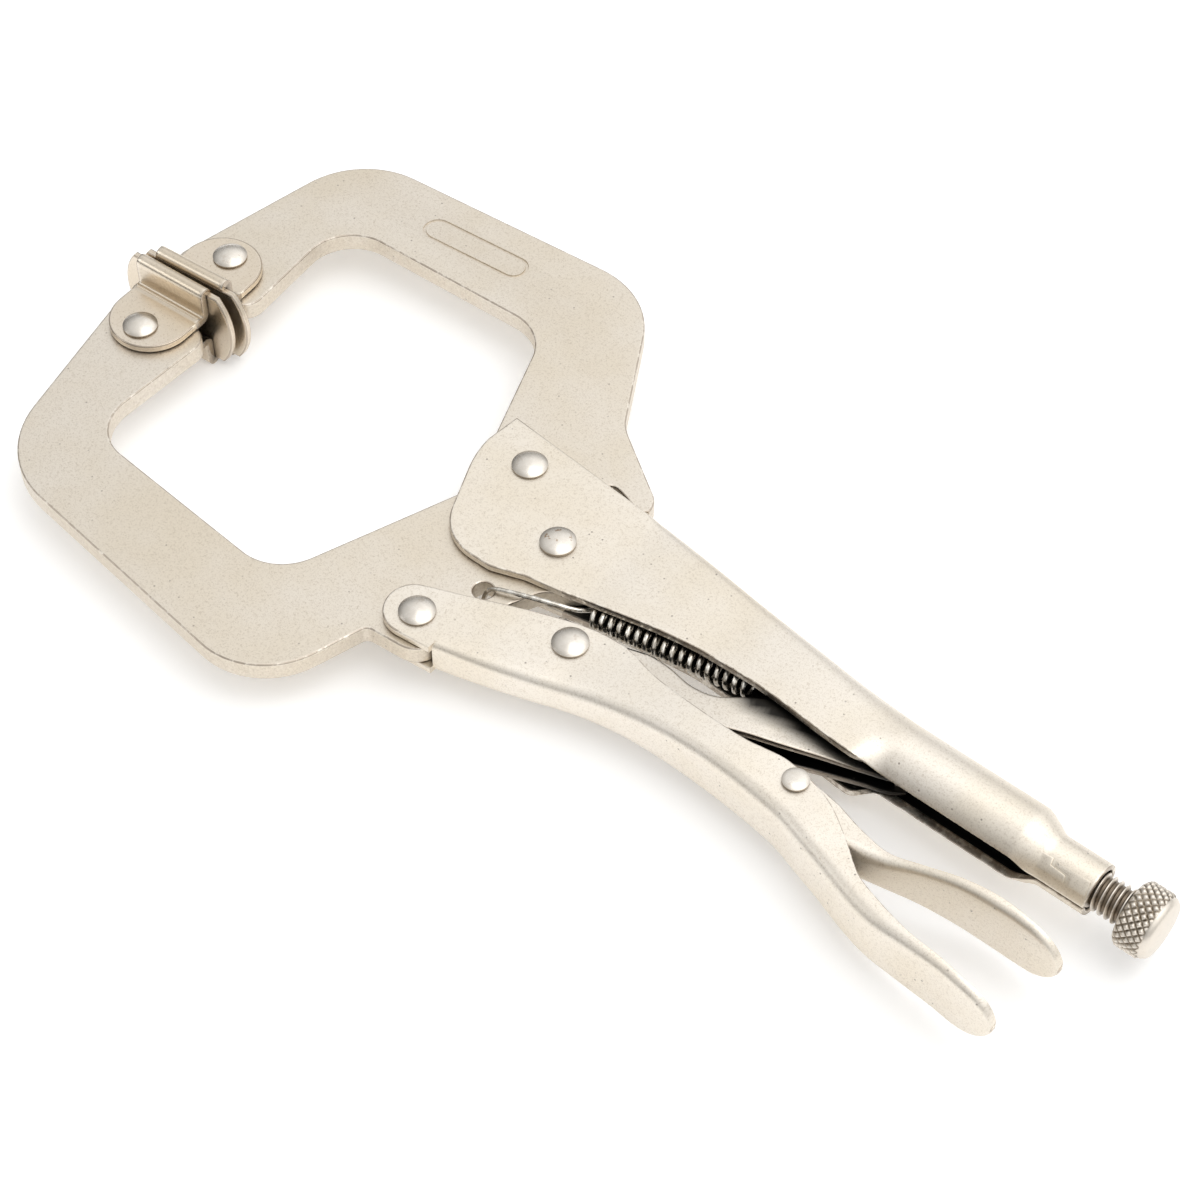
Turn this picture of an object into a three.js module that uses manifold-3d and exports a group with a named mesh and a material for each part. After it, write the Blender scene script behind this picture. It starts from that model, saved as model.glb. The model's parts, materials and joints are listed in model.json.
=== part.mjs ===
// Locking C-clamp pliers with swivel pads, lying on one side.
// Millimetres. +X runs along the handles towards the adjusting knob, +Y towards the upper jaw,
// +Z up through the flat of the plates. The shapes are drawn about the jaw pivot, on the middle
// plane of the tool, and the whole tool is lifted on to the surface it lies on at the end.

import * as THREE from 'three';
import { mergeVertices } from 'three/addons/utils/BufferGeometryUtils.js';
import Module from 'manifold-3d';

const wasm = await Module();
wasm.setup();

// ---- Driving dimensions ----------------------------------------------------------------------

const PLATE_HALF = 2.3;          // half the thickness of a jaw plate
const SHEET = 1.8;               // thickness of the pressed handle sheet
const CHEEK = 4.4;               // outer face of a cheek at the jaw end, from the middle plane
const CHEEK_INNER = CHEEK - SHEET;
const HEAD_SEAT = 0.05;          // rivet head off the sheet it is set on
const PIN_FIT = 0.3;             // radial room between a rivet and its hole

const RIVET = { pin: 3, head: 4, height: 1.6 };
const SMALL_RIVET = { pin: 1.8, head: 2.85, height: 1 };

const JAW_PIVOT = [0, 0];
const UPPER_JAW_RIVET = [-19.2, 13];
const HANDLE_PIVOT = [-10.3, -33.3];
const TOGGLE_PIVOT = [19.8, -19.2];
const LEVER_PIVOT = [78, -18.6];
const LEVER_CHEEK = 6.95;        // outer face of the lower handle at that rivet
const UPPER_PAD_PIVOT = [-115.8, 17.7];
const LOWER_PAD_PIVOT = [-115.5, -11.6];

const TUBE = { axisY: 3.2, half: 7.8, tall: 8.3, slot: 6.6, start: 86.4, end: 120.3 };
const NECK = { axisY: 2.8, radius: 5.8, wall: 1.1, seam: 0.5, start: 125.4, end: 136.8 };

const SCREW = { radius: 4.2, tipRadius: 2.2, tip: 98.5, shoulder: 143.6, spigot: 3 };
const KNOB = { radius: 7.4, start: 143.9, bevelStart: 150.4, faceRadius: 6.4, end: 152, bore: 4.6 };

const PAD = { radius: 16, half: 11.6, face: 14, sheet: 1.65, fold: 10, earHalf: 9.9, earEnd: 6 };
const UPPER_PAD_TILT = 5;        // degrees that the upper pad has swung on its rivet, closed
const LOWER_PAD_TILT = 3.6;      // and the lower pad

const SPRING = {
  wire: 0.5, coil: 2.15, turns: 18, front: [16.4, -8], back: [54, -1.4],
  hole: [-4.7, -18.8], holeRadius: 2.35,
};

const ARC_STEP = 15;             // degrees between the points of a rounded corner
const ROUND_SEGMENTS = 24;       // sides of a turned piece

// ---- Finishes --------------------------------------------------------------------------------

const finish = (color, roughness, metalness) =>
  new THREE.MeshStandardMaterial({ color, roughness, metalness });

const nickelPlate = finish(0xd8cfc2, 0.42, 0.85);
const brightNickel = finish(0xe2dbd0, 0.3, 0.9);
const springSteel = finish(0xb5afa6, 0.35, 0.95);
const screwSteel = finish(0x9a9084, 0.4, 0.9);

// ---- Helpers ---------------------------------------------------------------------------------

const radians = THREE.MathUtils.degToRad;

// A closed outline from corners [x, y, radius], each rounded by an arc that touches both sides.
function outline(corners) {
  const points = [];
  corners.forEach(([x, y, radius = 0], i) => {
    const corner = new THREE.Vector2(x, y);
    if (radius === 0) {
      points.push(corner);
      return;
    }
    const [px, py] = corners[(i + corners.length - 1) % corners.length];
    const [nx, ny] = corners[(i + 1) % corners.length];
    const back = new THREE.Vector2(px - x, py - y).normalize();
    const ahead = new THREE.Vector2(nx - x, ny - y).normalize();
    const opening = Math.acos(back.dot(ahead));
    const middle = back.clone().add(ahead).normalize();
    const centre = corner.clone().addScaledVector(middle, radius / Math.sin(opening / 2));
    const turn = Math.PI - opening;
    const side = Math.sign(back.cross(ahead));
    const steps = Math.max(2, Math.ceil(turn / radians(ARC_STEP)));
    const towardsCorner = Math.atan2(-middle.y, -middle.x);
    for (let k = 0; k <= steps; k += 1) {
      const angle = towardsCorner - side * turn * (k / steps - 0.5);
      points.push(new THREE.Vector2(
        centre.x + radius * Math.cos(angle),
        centre.y + radius * Math.sin(angle),
      ));
    }
  });
  return new THREE.Shape(points);
}

// A flat plate of that outline, from z = low to z = high.
function plate(corners, low, high) {
  const geometry = new THREE.ExtrudeGeometry(outline(corners), {
    depth: high - low,
    bevelEnabled: false,
  });
  return geometry.translate(0, 0, low);
}

function cylinder(radius, [x, y], length) {
  return new THREE.CylinderGeometry(radius, radius, length, ROUND_SEGMENTS)
    .rotateX(Math.PI / 2)
    .translate(x, y, 0);
}

function box(width, depth, height, [x, y, z]) {
  return new THREE.BoxGeometry(width, depth, height).translate(x, y, z);
}

function toSolid(geometry) {
  const bare = geometry.clone();
  bare.deleteAttribute('normal');
  bare.deleteAttribute('uv');
  const merged = mergeVertices(bare, 1e-4);
  return new wasm.Manifold(new wasm.Mesh({
    numProp: 3,
    vertProperties: new Float32Array(merged.attributes.position.array),
    triVerts: new Uint32Array(merged.index.array),
  }));
}

function fromSolid(solid) {
  const mesh = solid.getMesh();
  const geometry = new THREE.BufferGeometry();
  geometry.setAttribute('position', new THREE.BufferAttribute(mesh.vertProperties, 3));
  geometry.setIndex(new THREE.BufferAttribute(mesh.triVerts, 1));
  geometry.computeVertexNormals();
  return geometry;
}

// Joins the bodies and then takes the cuts away.
function shape(bodies, cuts = []) {
  const joined = bodies.map(toSolid).reduce((all, next) => all.add(next));
  return fromSolid(cuts.map(toSolid).reduce((left, cut) => left.subtract(cut), joined));
}

const hole = (place, pin = RIVET.pin, depth = 40) => cylinder(pin + PIN_FIT, place, depth);

// Half of a pressed channel's section, from the free edge round the bend to the middle of the
// web. side is +1 where the web is above the edges and -1 where it is below them.
function channelHalf({ web, edge, half, bend }, side) {
  const bendStart = web - side * bend;
  const points = [0, 1 / 3, 2 / 3].map((t) => [half, THREE.MathUtils.lerp(edge, bendStart, t)]);
  for (let k = 0; k <= 4; k += 1) {
    const angle = (k / 4) * Math.PI / 2;
    const z = half - bend + bend * Math.cos(angle);
    points.push([z, bendStart + side * bend * Math.sin(angle)]);
  }
  points.push([(half - bend) / 2, web], [0, web]);
  return points;
}

// Half of a rolled section: an oval open at the bottom by the width of the slot.
function rolledHalf({ axisY, half, tall, slot }) {
  const start = -Math.acos(slot / 2 / half);
  return Array.from({ length: 10 }, (_, k) => {
    const angle = THREE.MathUtils.lerp(start, Math.PI / 2, k / 9);
    return [half * Math.cos(angle), axisY + tall * Math.sin(angle)];
  });
}

function sectionHalf(station, side, inset) {
  const { wall = SHEET, roll = 0 } = station;
  const off = inset ? wall : 0;
  const flat = channelHalf({
    web: station.web - side * off,
    edge: station.edge,
    half: station.half - off,
    bend: Math.max(station.bend - off, 0.3),
  }, side);
  if (roll === 0) return flat;
  const tube = station.tube;
  const rolled = rolledHalf({ ...tube, half: tube.half - off, tall: tube.tall - off });
  return flat.map(([z, y], i) => [
    THREE.MathUtils.lerp(z, rolled[i][0], roll),
    THREE.MathUtils.lerp(y, rolled[i][1], roll),
  ]);
}

// A sheet pressed into a channel or rolled into a tube, drawn through its stations along X.
function pressedSheet(stations, side) {
  const rings = stations.map((station) => {
    const outer = sectionHalf(station, side, false);
    const inner = sectionHalf(station, side, true);
    const mirrored = (half) => half.slice(0, -1).reverse().map(([z, y]) => [-z, y]);
    const out = [...outer, ...mirrored(outer)];
    const back = [...inner, ...mirrored(inner)].reverse();
    return [...out, ...back].map(([z, y]) => [station.x, y, z]);
  });
  const count = rings[0].length;
  const position = rings.flat(2);
  const index = [];
  for (let s = 0; s + 1 < rings.length; s += 1) {
    for (let k = 0; k < count; k += 1) {
      const next = (k + 1) % count;
      const a = s * count + k;
      const b = s * count + next;
      index.push(a, a + count, b, b, a + count, b + count);
    }
  }
  const last = (rings.length - 1) * count;
  for (let k = 0; k + 1 < count / 2; k += 1) {
    const across = count - 1 - k;
    index.push(k, k + 1, across, k + 1, across - 1, across);
    index.push(last + k, last + across, last + k + 1);
    index.push(last + k + 1, last + across, last + across - 1);
  }
  if (side < 0) index.reverse();
  const geometry = new THREE.BufferGeometry();
  geometry.setAttribute('position', new THREE.Float32BufferAttribute(position, 3));
  geometry.setIndex(index);
  geometry.computeVertexNormals();
  return geometry;
}

// Stations of a channel from rows [x, web, edge, half width, bend].
const channel = (rows, extra = {}) =>
  rows.map(([x, web, edge, half, bend]) => ({ x, web, edge, half, bend, ...extra }));

// A rivet set through both cheeks, with a low rimmed dome at each end.
function rivet([x, y], { pin, head, height }, cheek) {
  const seat = cheek + HEAD_SEAT;
  const top = [
    [pin, seat], [head, seat], [head, seat + 0.4 * height],
    [head * 0.88, seat + 0.7 * height], [head * 0.55, seat + 0.94 * height], [0, seat + height],
  ];
  const bottom = top.map(([r, z]) => [r, -z]).reverse();
  const profile = [...bottom, ...top].map(([r, z]) => new THREE.Vector2(r, z));
  return new THREE.LatheGeometry(profile, ROUND_SEGMENTS)
    .rotateX(Math.PI / 2)
    .translate(x, y, 0);
}

// A piece turned about the screw's own line, from [x, radius] points.
function turned(profile) {
  const points = profile.map(([x, r]) => new THREE.Vector2(r, x));
  return new THREE.LatheGeometry(points, ROUND_SEGMENTS)
    .rotateZ(-Math.PI / 2)
    .translate(0, NECK.axisY, 0);
}

// ---- Jaws ------------------------------------------------------------------------------------

const upperJawOutline = [
  [8.2, 18.9, 1.2], [8, 23.7, 5.5], [-12, 36.8, 12.3], [-33.9, 73.4, 22.6], [-118.6, 65.4, 20.6],
  [-128.2, 8.2, 5.1], [-101.6, 8.2, 5.1], [-105.9, 45, 11.3], [-45.2, 48, 12.3],
  [-28.5, 6.7, 3.1], [-11.3, 6.7, 4.1], [-6.7, 17, 2.1], [-2.6, 22.2, 2.6],
];

const lowerJawOutline = [
  [-25.2, 3.3, 3.1], [-12.3, 3.3, 4], [-7.2, 9.6, 3.5], [7.2, 9.6, 5], [13.7, -4.4, 4.1],
  [4.9, -11.3, 5], [1.6, -19, 4.1], [-2.8, -27.2, 3.1], [-2.8, -40.6, 6], [-16.9, -41.9, 2],
  [-24.6, -69.3, 18.5], [-113, -59.1, 24.7], [-128.7, -2.3, 5.1], [-102.4, -2.3, 5.1],
  [-102.6, -40.1, 11.3], [-42, -44.4, 12.3],
];

function makeUpperJaw() {
  return shape(
    [plate(upperJawOutline, -PLATE_HALF, PLATE_HALF)],
    [hole(UPPER_JAW_RIVET), hole(UPPER_PAD_PIVOT)],
  );
}

function makeLowerJaw() {
  return shape(
    [plate(lowerJawOutline, -PLATE_HALF, PLATE_HALF)],
    [
      hole(JAW_PIVOT), hole(HANDLE_PIVOT), hole(LOWER_PAD_PIVOT),
      cylinder(SPRING.holeRadius, SPRING.hole, 4 * PLATE_HALF),
    ],
  );
}

// ---- Swivel pads -----------------------------------------------------------------------------

// One pad about its own rivet, with its face towards +Y: a round face trimmed by two folded hems,
// whose back layers turn down into two ears beside the jaw.
function makePad() {
  const { radius, half, face, sheet, fold, earHalf, earEnd } = PAD;
  const disc = new THREE.CylinderGeometry(radius, radius, sheet, 2 * ROUND_SEGMENTS)
    .translate(0, face - sheet / 2, 0);
  const backDepth = face - sheet + 0.05 - fold;
  const backHeight = half - CHEEK_INNER;
  const backLayer = (side) => box(2 * earHalf, backDepth, backHeight, [
    0, fold + backDepth / 2, side * (CHEEK_INNER + backHeight / 2),
  ]);
  const earOutline = [
    [-earHalf, fold + 1, 0], [-earHalf, -earEnd, earHalf - 0.2],
    [earHalf, -earEnd, earHalf - 0.2], [earHalf, fold + 1, 0],
  ];
  const trims = [1, -1].map((side) => box(3 * radius, 3 * radius, radius, [
    0, 0, side * (half + radius / 2),
  ]));
  return shape(
    [
      disc, backLayer(1), backLayer(-1),
      plate(earOutline, CHEEK_INNER, CHEEK), plate(earOutline, -CHEEK, -CHEEK_INNER),
    ],
    [...trims, hole([0, 0])],
  );
}

// ---- Upper handle ----------------------------------------------------------------------------

const upperCheekOutline = [
  [-32.3, 22.2, 1.2], [-31.2, 8.5, 28], [-20.9, -14.4, 13], [-7.2, -14.2, 6], [0.5, -11.4, 10],
  [9.35, -9.7, 0], [9.35, 18.7, 0],
];

const upperChannel = channel([
  [9.3, 19.8, -9.7, CHEEK, 3.1], [20.6, 18.6, -7.2, 4.75, 3.1], [32.9, 16.9, -4.9, 5.2, 3.3],
  [43.2, 15.4, -3.8, 5.5, 3.5], [53.5, 14, -3.8, 6.1, 3.9], [63.7, 12.7, -4.5, 6.7, 4.5],
  [74, 11.8, -5.6, 7.1, 5.7], [82.2, 11.5, -6.1, 7.3, 6.6],
]);

// The channel closes into the slotted tube, and the tube draws in to the threaded neck.
function upperTube() {
  const body = {
    web: TUBE.axisY + TUBE.tall, edge: -5, half: TUBE.half, bend: 6.8, roll: 1, tube: TUBE,
  };
  const neckTube = { axisY: NECK.axisY, half: NECK.radius, tall: NECK.radius, slot: NECK.seam };
  const neck = {
    web: NECK.axisY + NECK.radius, edge: -2, half: NECK.radius, bend: 5.4,
    roll: 1, wall: NECK.wall, tube: neckTube,
  };
  const halfway = {
    ...neck, wall: 1.4, tube: { axisY: 3, half: 6.9, tall: 7.1, slot: 3.2 },
  };
  return [
    { ...body, x: TUBE.start }, { ...body, x: (TUBE.start + TUBE.end) / 2 },
    { ...body, x: TUBE.end }, { ...halfway, x: (TUBE.end + NECK.start) / 2 },
    { ...neck, x: NECK.start }, { ...neck, x: NECK.end },
  ];
}

function makeUpperHandle() {
  const lug = box(1.5, 4, 4, [65, 9.6, 0]);
  return shape(
    [
      pressedSheet([...upperChannel, ...upperTube()], 1),
      plate(upperCheekOutline, CHEEK_INNER, CHEEK),
      plate(upperCheekOutline, -CHEEK, -CHEEK_INNER),
      lug,
    ],
    [hole(UPPER_JAW_RIVET), hole(JAW_PIVOT)],
  );
}

// ---- Lower handle, release lever and toggle link -----------------------------------------------

const earOutline = [
  [-18.1, -28.7, 6.2], [-18.1, -40.7, 7], [-2, -39, 0], [-2, -21.9, 0],
];

const lowerChannel = channel([
  [-2.05, -38, -21.9, CHEEK, 1.3], [8.2, -35.4, -17.5, CHEEK, 1.4], [19.5, -31.9, -13.6, CHEEK, 1.6],
  [24.5, -30.2, -12.7, CHEEK, 1.7],
  [28.8, -28.8, -12.6, 4.6, 1.8], [39.1, -26.4, -15, 5.3, 2.3], [51.4, -25.2, -16.3, 6.2, 2.8],
  [63.7, -25.4, -16.6, 6.8, 3], [74, -26.4, -15.4, 6.9, 3.1], [80.2, -27.4, -16.3, 6.9, 3.1],
  [86.4, -29.3, -18.4, 7, 3.1], [93.5, -31.5, -22.9, 7, 3.1], [100.7, -33.9, -28.3, 7.1, 3.1],
  [107.9, -35.7, -31, 7.3, 3.1], [116.2, -36, -33.1, 7.6, 2.7], [125.4, -36.3, -34.1, 7.7, 2.1],
  [131.6, -37, -35.1, 7.4, 1.85], [135.7, -37.2, -35.2, 5.7, 1.85], [138, -37.2, -35.2, 3.1, 1.85],
  [138.8, -37.2, -35.25, 2, 1.85],
]);

const leverChannel = channel([
  [61.7, -21.4, -16.6, 4.7, 2.1], [69.9, -23.5, -16, 4.7, 2.1], [78.1, -24.3, -15.3, 4.7, 2.1],
  [86.4, -24.7, -16.1, 4.7, 2.1], [94.6, -23.6, -18.3, 4.8, 2.1], [101.8, -22.1, -19.4, 5, 2.1],
  [109, -19.8, -18, 6, 1.8], [117.2, -18.2, -16.2, 7.2, 1.9], [126.4, -17.7, -15, 7.7, 1.9],
  [132.6, -17.7, -15, 7.5, 1.85], [137.8, -18, -16, 5.9, 1.85], [140.4, -18.2, -16.2, 3.4, 1.85],
  [141.3, -18.3, -16.35, 2, 1.85],
], { wall: 1.6 });

const linkChannel = channel([
  [12.3, -13.4, -24.7, 2.3, 0.8], [19.5, -12.3, -26.2, 2.3, 0.8], [26.7, -11.4, -25.2, 2.4, 0.8],
  [33.9, -9.3, -23.1, 2.5, 1], [39.1, -9.6, -21.6, 2.9, 1], [45.2, -10.6, -19.7, 3.4, 1.2],
  [51.4, -9.5, -17.8, 3.8, 1.2], [56.5, -5.7, -15.9, 4, 1.2], [61.7, -2.1, -13.8, 4, 1.2],
  [67.8, 1, -11.7, 3.8, 1.2], [77.1, 3.7, -8.2, 3.3, 1.2], [85.3, 4.7, -5.3, 2.8, 1],
  [91.5, 4.9, -2.9, 2.8, 1], [93.5, 4.3, -1.5, 2.6, 1],
], { wall: 1.6 });

function makeLowerHandle() {
  return shape(
    [
      pressedSheet(lowerChannel, -1),
      plate(earOutline, CHEEK_INNER, CHEEK),
      plate(earOutline, -CHEEK, -CHEEK_INNER),
    ],
    [hole(HANDLE_PIVOT), hole(TOGGLE_PIVOT), hole(LEVER_PIVOT, SMALL_RIVET.pin)],
  );
}

function makeReleaseLever() {
  return shape([pressedSheet(leverChannel, -1)], [hole(LEVER_PIVOT, SMALL_RIVET.pin)]);
}

function makeToggleLink() {
  const nose = plate([[90, 4.4, 1], [94.6, 3.6, 1.5], [94.2, -0.6, 1.5], [90, -1.6, 0.5]], -2.4, 2.4);
  return shape([pressedSheet(linkChannel, 1), nose], [hole(TOGGLE_PIVOT)]);
}

// ---- Tension spring --------------------------------------------------------------------------

// One wire: a hook in the lower jaw's hole, a straight leg, the close coil, and a tail that
// hooks over the lug inside the upper handle.
function makeSpring() {
  const { wire, coil, turns, front, back, hole: [hx, hy] } = SPRING;
  const start = new THREE.Vector3(...front, 0);
  const run = new THREE.Vector3(...back, 0).sub(start);
  const across = new THREE.Vector3(-run.y, run.x, 0).normalize();
  const points = [
    new THREE.Vector3(hx - 0.4, hy - 0.4, -3.4), new THREE.Vector3(hx, hy, 0),
    new THREE.Vector3(hx + 0.7, hy + 0.7, 2.6), new THREE.Vector3(hx + 3, hy + 2, 3.5),
    new THREE.Vector3(4, -15.2, 3.2), new THREE.Vector3(12, -12.4, 2.4),
  ];
  const perTurn = 10;
  for (let k = 0; k <= turns * perTurn; k += 1) {
    const t = k / (turns * perTurn);
    const angle = (k / perTurn) * 2 * Math.PI;
    points.push(start.clone()
      .addScaledVector(run, t)
      .addScaledVector(across, -coil * Math.cos(angle))
      .add(new THREE.Vector3(0, 0, coil * Math.sin(angle))));
  }
  points.push(
    new THREE.Vector3(57.5, -0.5, 0), new THREE.Vector3(61, 5, 0),
    new THREE.Vector3(64.2, 6.6, 0), new THREE.Vector3(67, 7.4, 0), new THREE.Vector3(67.2, 9.4, 0),
  );
  const sides = 6;
  const section = new THREE.Shape(Array.from({ length: sides }, (_, k) => {
    const angle = (k / sides) * 2 * Math.PI;
    return new THREE.Vector2(wire * Math.cos(angle), wire * Math.sin(angle));
  }));
  return new THREE.ExtrudeGeometry(section, {
    steps: turns * perTurn + 50,
    extrudePath: new THREE.CatmullRomCurve3(points),
    bevelEnabled: false,
  });
}

// ---- Adjusting screw and knob ----------------------------------------------------------------

function makeScrew() {
  const { radius, tipRadius, tip, shoulder, spigot } = SCREW;
  const spigotEnd = KNOB.start + KNOB.bore - PIN_FIT;
  return turned([
    [spigotEnd, 0], [spigotEnd, spigot], [shoulder, spigot], [shoulder, radius],
    [tip + 3, radius], [tip + 0.6, tipRadius], [tip, tipRadius * 0.7], [tip, 0],
  ].reverse());
}

function makeKnob() {
  const { radius, start, bevelStart, faceRadius, end, bore } = KNOB;
  const boreRadius = SCREW.spigot + PIN_FIT;
  return turned([
    [start + bore, 0], [start + bore, boreRadius], [start, boreRadius], [start, radius - 0.5],
    [start + 0.5, radius], [bevelStart, radius], [end, faceRadius], [end, 0],
  ]);
}

// ---- Assembly --------------------------------------------------------------------------------

const tool = new THREE.Group();

function add(name, geometry, material, place = [0, 0], turn = 0) {
  const mesh = new THREE.Mesh(geometry, material);
  mesh.name = name;
  mesh.position.set(place[0], place[1], 0);
  mesh.rotation.z = radians(turn);
  tool.add(mesh);
}

add('upper_handle', makeUpperHandle(), nickelPlate);
add('upper_jaw', makeUpperJaw(), nickelPlate);
add('lower_jaw', makeLowerJaw(), nickelPlate);
add('lower_handle', makeLowerHandle(), nickelPlate);
add('toggle_link', makeToggleLink(), nickelPlate);
add('release_lever', makeReleaseLever(), nickelPlate);
add('tension_spring', makeSpring(), springSteel);
add('adjusting_screw', makeScrew(), screwSteel);
add('adjusting_knob', makeKnob(), screwSteel);
add('upper_pad', makePad(), nickelPlate, UPPER_PAD_PIVOT, 180 + UPPER_PAD_TILT);
add('lower_pad', makePad(), nickelPlate, LOWER_PAD_PIVOT, LOWER_PAD_TILT);

const rivets = {
  upper_jaw_rivet: UPPER_JAW_RIVET,
  jaw_pivot_rivet: JAW_PIVOT,
  handle_pivot_rivet: HANDLE_PIVOT,
  toggle_rivet: TOGGLE_PIVOT,
  upper_pad_rivet: UPPER_PAD_PIVOT,
  lower_pad_rivet: LOWER_PAD_PIVOT,
};
for (const [name, place] of Object.entries(rivets)) {
  add(name, rivet(place, RIVET, CHEEK), brightNickel);
}
add('release_lever_rivet', rivet(LEVER_PIVOT, SMALL_RIVET, LEVER_CHEEK), brightNickel);

// The origin is the middle of the tool's box, on the surface that it lies on.
const bounds = new THREE.Box3().setFromObject(tool, true);
const middle = bounds.getCenter(new THREE.Vector3());
tool.position.set(-middle.x, -middle.y, -bounds.min.z);

export default tool;
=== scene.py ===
"""Locking C-clamp pliers with swivel pads: pressed and stamped steel with a satin nickel plate.

Lengths in this file are millimetres about the jaw pivot, with +X along the handles to the knob,
+Y towards the upper jaw and +Z up, until a finished piece is put in its place in metres.
"""

import json
import math

import bmesh
import bpy
import numpy as np
from mathutils import Matrix, Vector

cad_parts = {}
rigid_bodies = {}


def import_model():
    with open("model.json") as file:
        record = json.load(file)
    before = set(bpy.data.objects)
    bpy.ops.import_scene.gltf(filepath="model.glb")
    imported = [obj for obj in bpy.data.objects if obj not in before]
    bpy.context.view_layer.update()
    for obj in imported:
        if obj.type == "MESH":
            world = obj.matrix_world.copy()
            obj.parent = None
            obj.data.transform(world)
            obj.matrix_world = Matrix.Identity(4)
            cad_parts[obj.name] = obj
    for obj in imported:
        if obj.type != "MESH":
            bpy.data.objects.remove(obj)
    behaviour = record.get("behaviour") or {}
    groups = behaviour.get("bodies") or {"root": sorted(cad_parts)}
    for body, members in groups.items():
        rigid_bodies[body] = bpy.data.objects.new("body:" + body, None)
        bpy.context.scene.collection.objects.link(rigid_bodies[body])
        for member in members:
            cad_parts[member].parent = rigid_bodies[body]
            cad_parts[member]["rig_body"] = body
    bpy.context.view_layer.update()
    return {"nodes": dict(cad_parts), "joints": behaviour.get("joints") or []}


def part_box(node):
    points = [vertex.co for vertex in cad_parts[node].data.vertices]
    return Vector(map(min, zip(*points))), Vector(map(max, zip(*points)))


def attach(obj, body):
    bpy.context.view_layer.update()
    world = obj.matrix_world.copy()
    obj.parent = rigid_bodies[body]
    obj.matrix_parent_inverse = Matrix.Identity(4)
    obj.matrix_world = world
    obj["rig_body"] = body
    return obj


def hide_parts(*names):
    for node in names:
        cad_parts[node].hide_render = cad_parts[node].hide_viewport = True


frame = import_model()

# ---- Driving dimensions ------------------------------------------------------------------------

MM = 0.001
JOINTS = {joint["name"]: joint for joint in frame["joints"]}
JAW_PIVOT = Vector(JOINTS["jaw_open"]["pos_m"])

PLATE_HALF = 2.3            # half the thickness of a jaw plate
SHEET = 1.8                 # pressed sheet of the handles
CHEEK = 4.4                 # outer face of a cheek at the jaw end, from the middle plane
CHEEK_INNER = CHEEK - SHEET
EDGE_ROUND = 0.3            # rounding of a stamped edge
GROOVE_DEPTH = 0.3
RIM = 0.6                   # width of the worn band beside an edge
PIN_FIT = 0.3
SECTION_STEP = 0.9          # between the drawn sections of a pressed sheet
JOIN = 1e-4                 # points this close are one
TURNED_JOIN = 1e-3          # the same for turned pieces and the thread
LINK_SHEET = 1.6            # pressed sheet of the release lever and the toggle link

CHEEK_SEAM = 9.3            # where the upper handle's cheeks run on into its channel
EAR_SEAM = -2.05            # the same for the lower handle's ears

RIVET_PIN, RIVET_HEAD, RIVET_HEIGHT = 3, 4, 1.6
LEVER_RIVET_PIN, LEVER_RIVET_HEAD, LEVER_RIVET_HEIGHT, LEVER_RIVET_SEAT = 1.8, 2.85, 1.0, 7.0
HOLE_RADIUS = RIVET_PIN + PIN_FIT
SPRING_HOLE = (-4.7, -18.8)
SPRING_HOLE_RADIUS = 2.35

TUBE_AXIS, TUBE_START, TUBE_END = 3.2, 86.4, 120.3
TUBE_ROUND = 89.0           # where the channel has become fully round
NECK_AXIS, NECK_RADIUS, NECK_SHEET, NECK_START, NECK_END = 2.8, 5.8, 1.1, 125.4, 136.8
SCREW_RADIUS, SCREW_TIP, SCREW_SHOULDER, THREAD_PITCH = 4.2, 98.5, 143.6, 1.5
KNOB_RADIUS, KNOB_START, KNOB_END = 7.4, 143.9, 152.0
SPIGOT_LENGTH, SPIGOT_RADIUS = 4.3, 3.0     # the shaft's end in the knob
SOCKET_DEPTH, SOCKET_RADIUS = 4.6, 3.3      # the hole for it

PAD_RADIUS, PAD_FACE, PAD_SHEET, PAD_HALF, EAR_HALF = 16.0, 14.0, 1.65, 11.6, 9.9
HEM_OUTER = 1.75            # outer radius of a pad's folded hem
EAR_TOP = 2.6               # from a pad's back to where its flat ears start
UPPER_PAD_TILT, LOWER_PAD_TILT = 185.0, 3.6

COIL_RADIUS, WIRE_RADIUS, COIL_TURNS = 2.15, 0.55, 18
COIL_START, COIL_END = Vector((16.4, -8, 0)), Vector((54, -1.4, 0))


def spot(node):
    """Where a rivet stands, from the middle of its box."""
    low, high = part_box(node)
    middle = (low + high) / 2 - JAW_PIVOT
    return middle.x / MM, middle.y / MM


# ---- Mesh helpers --------------------------------------------------------------------------------


def new_mesh():
    """An empty bmesh with the marks that the finishes read: worn rims, which also carry painted edge
    shade, painted shade on insides, and cut walls, whose mark also paints shade on the pads.
    """
    bm = bmesh.new()
    for mark in ("rim", "inside", "cut"):
        bm.verts.layers.float.new(mark)
    return bm


def marks(bm):
    """The rim, inside and cut layers."""
    layers = bm.verts.layers.float
    return layers["rim"], layers["inside"], layers["cut"]


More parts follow.
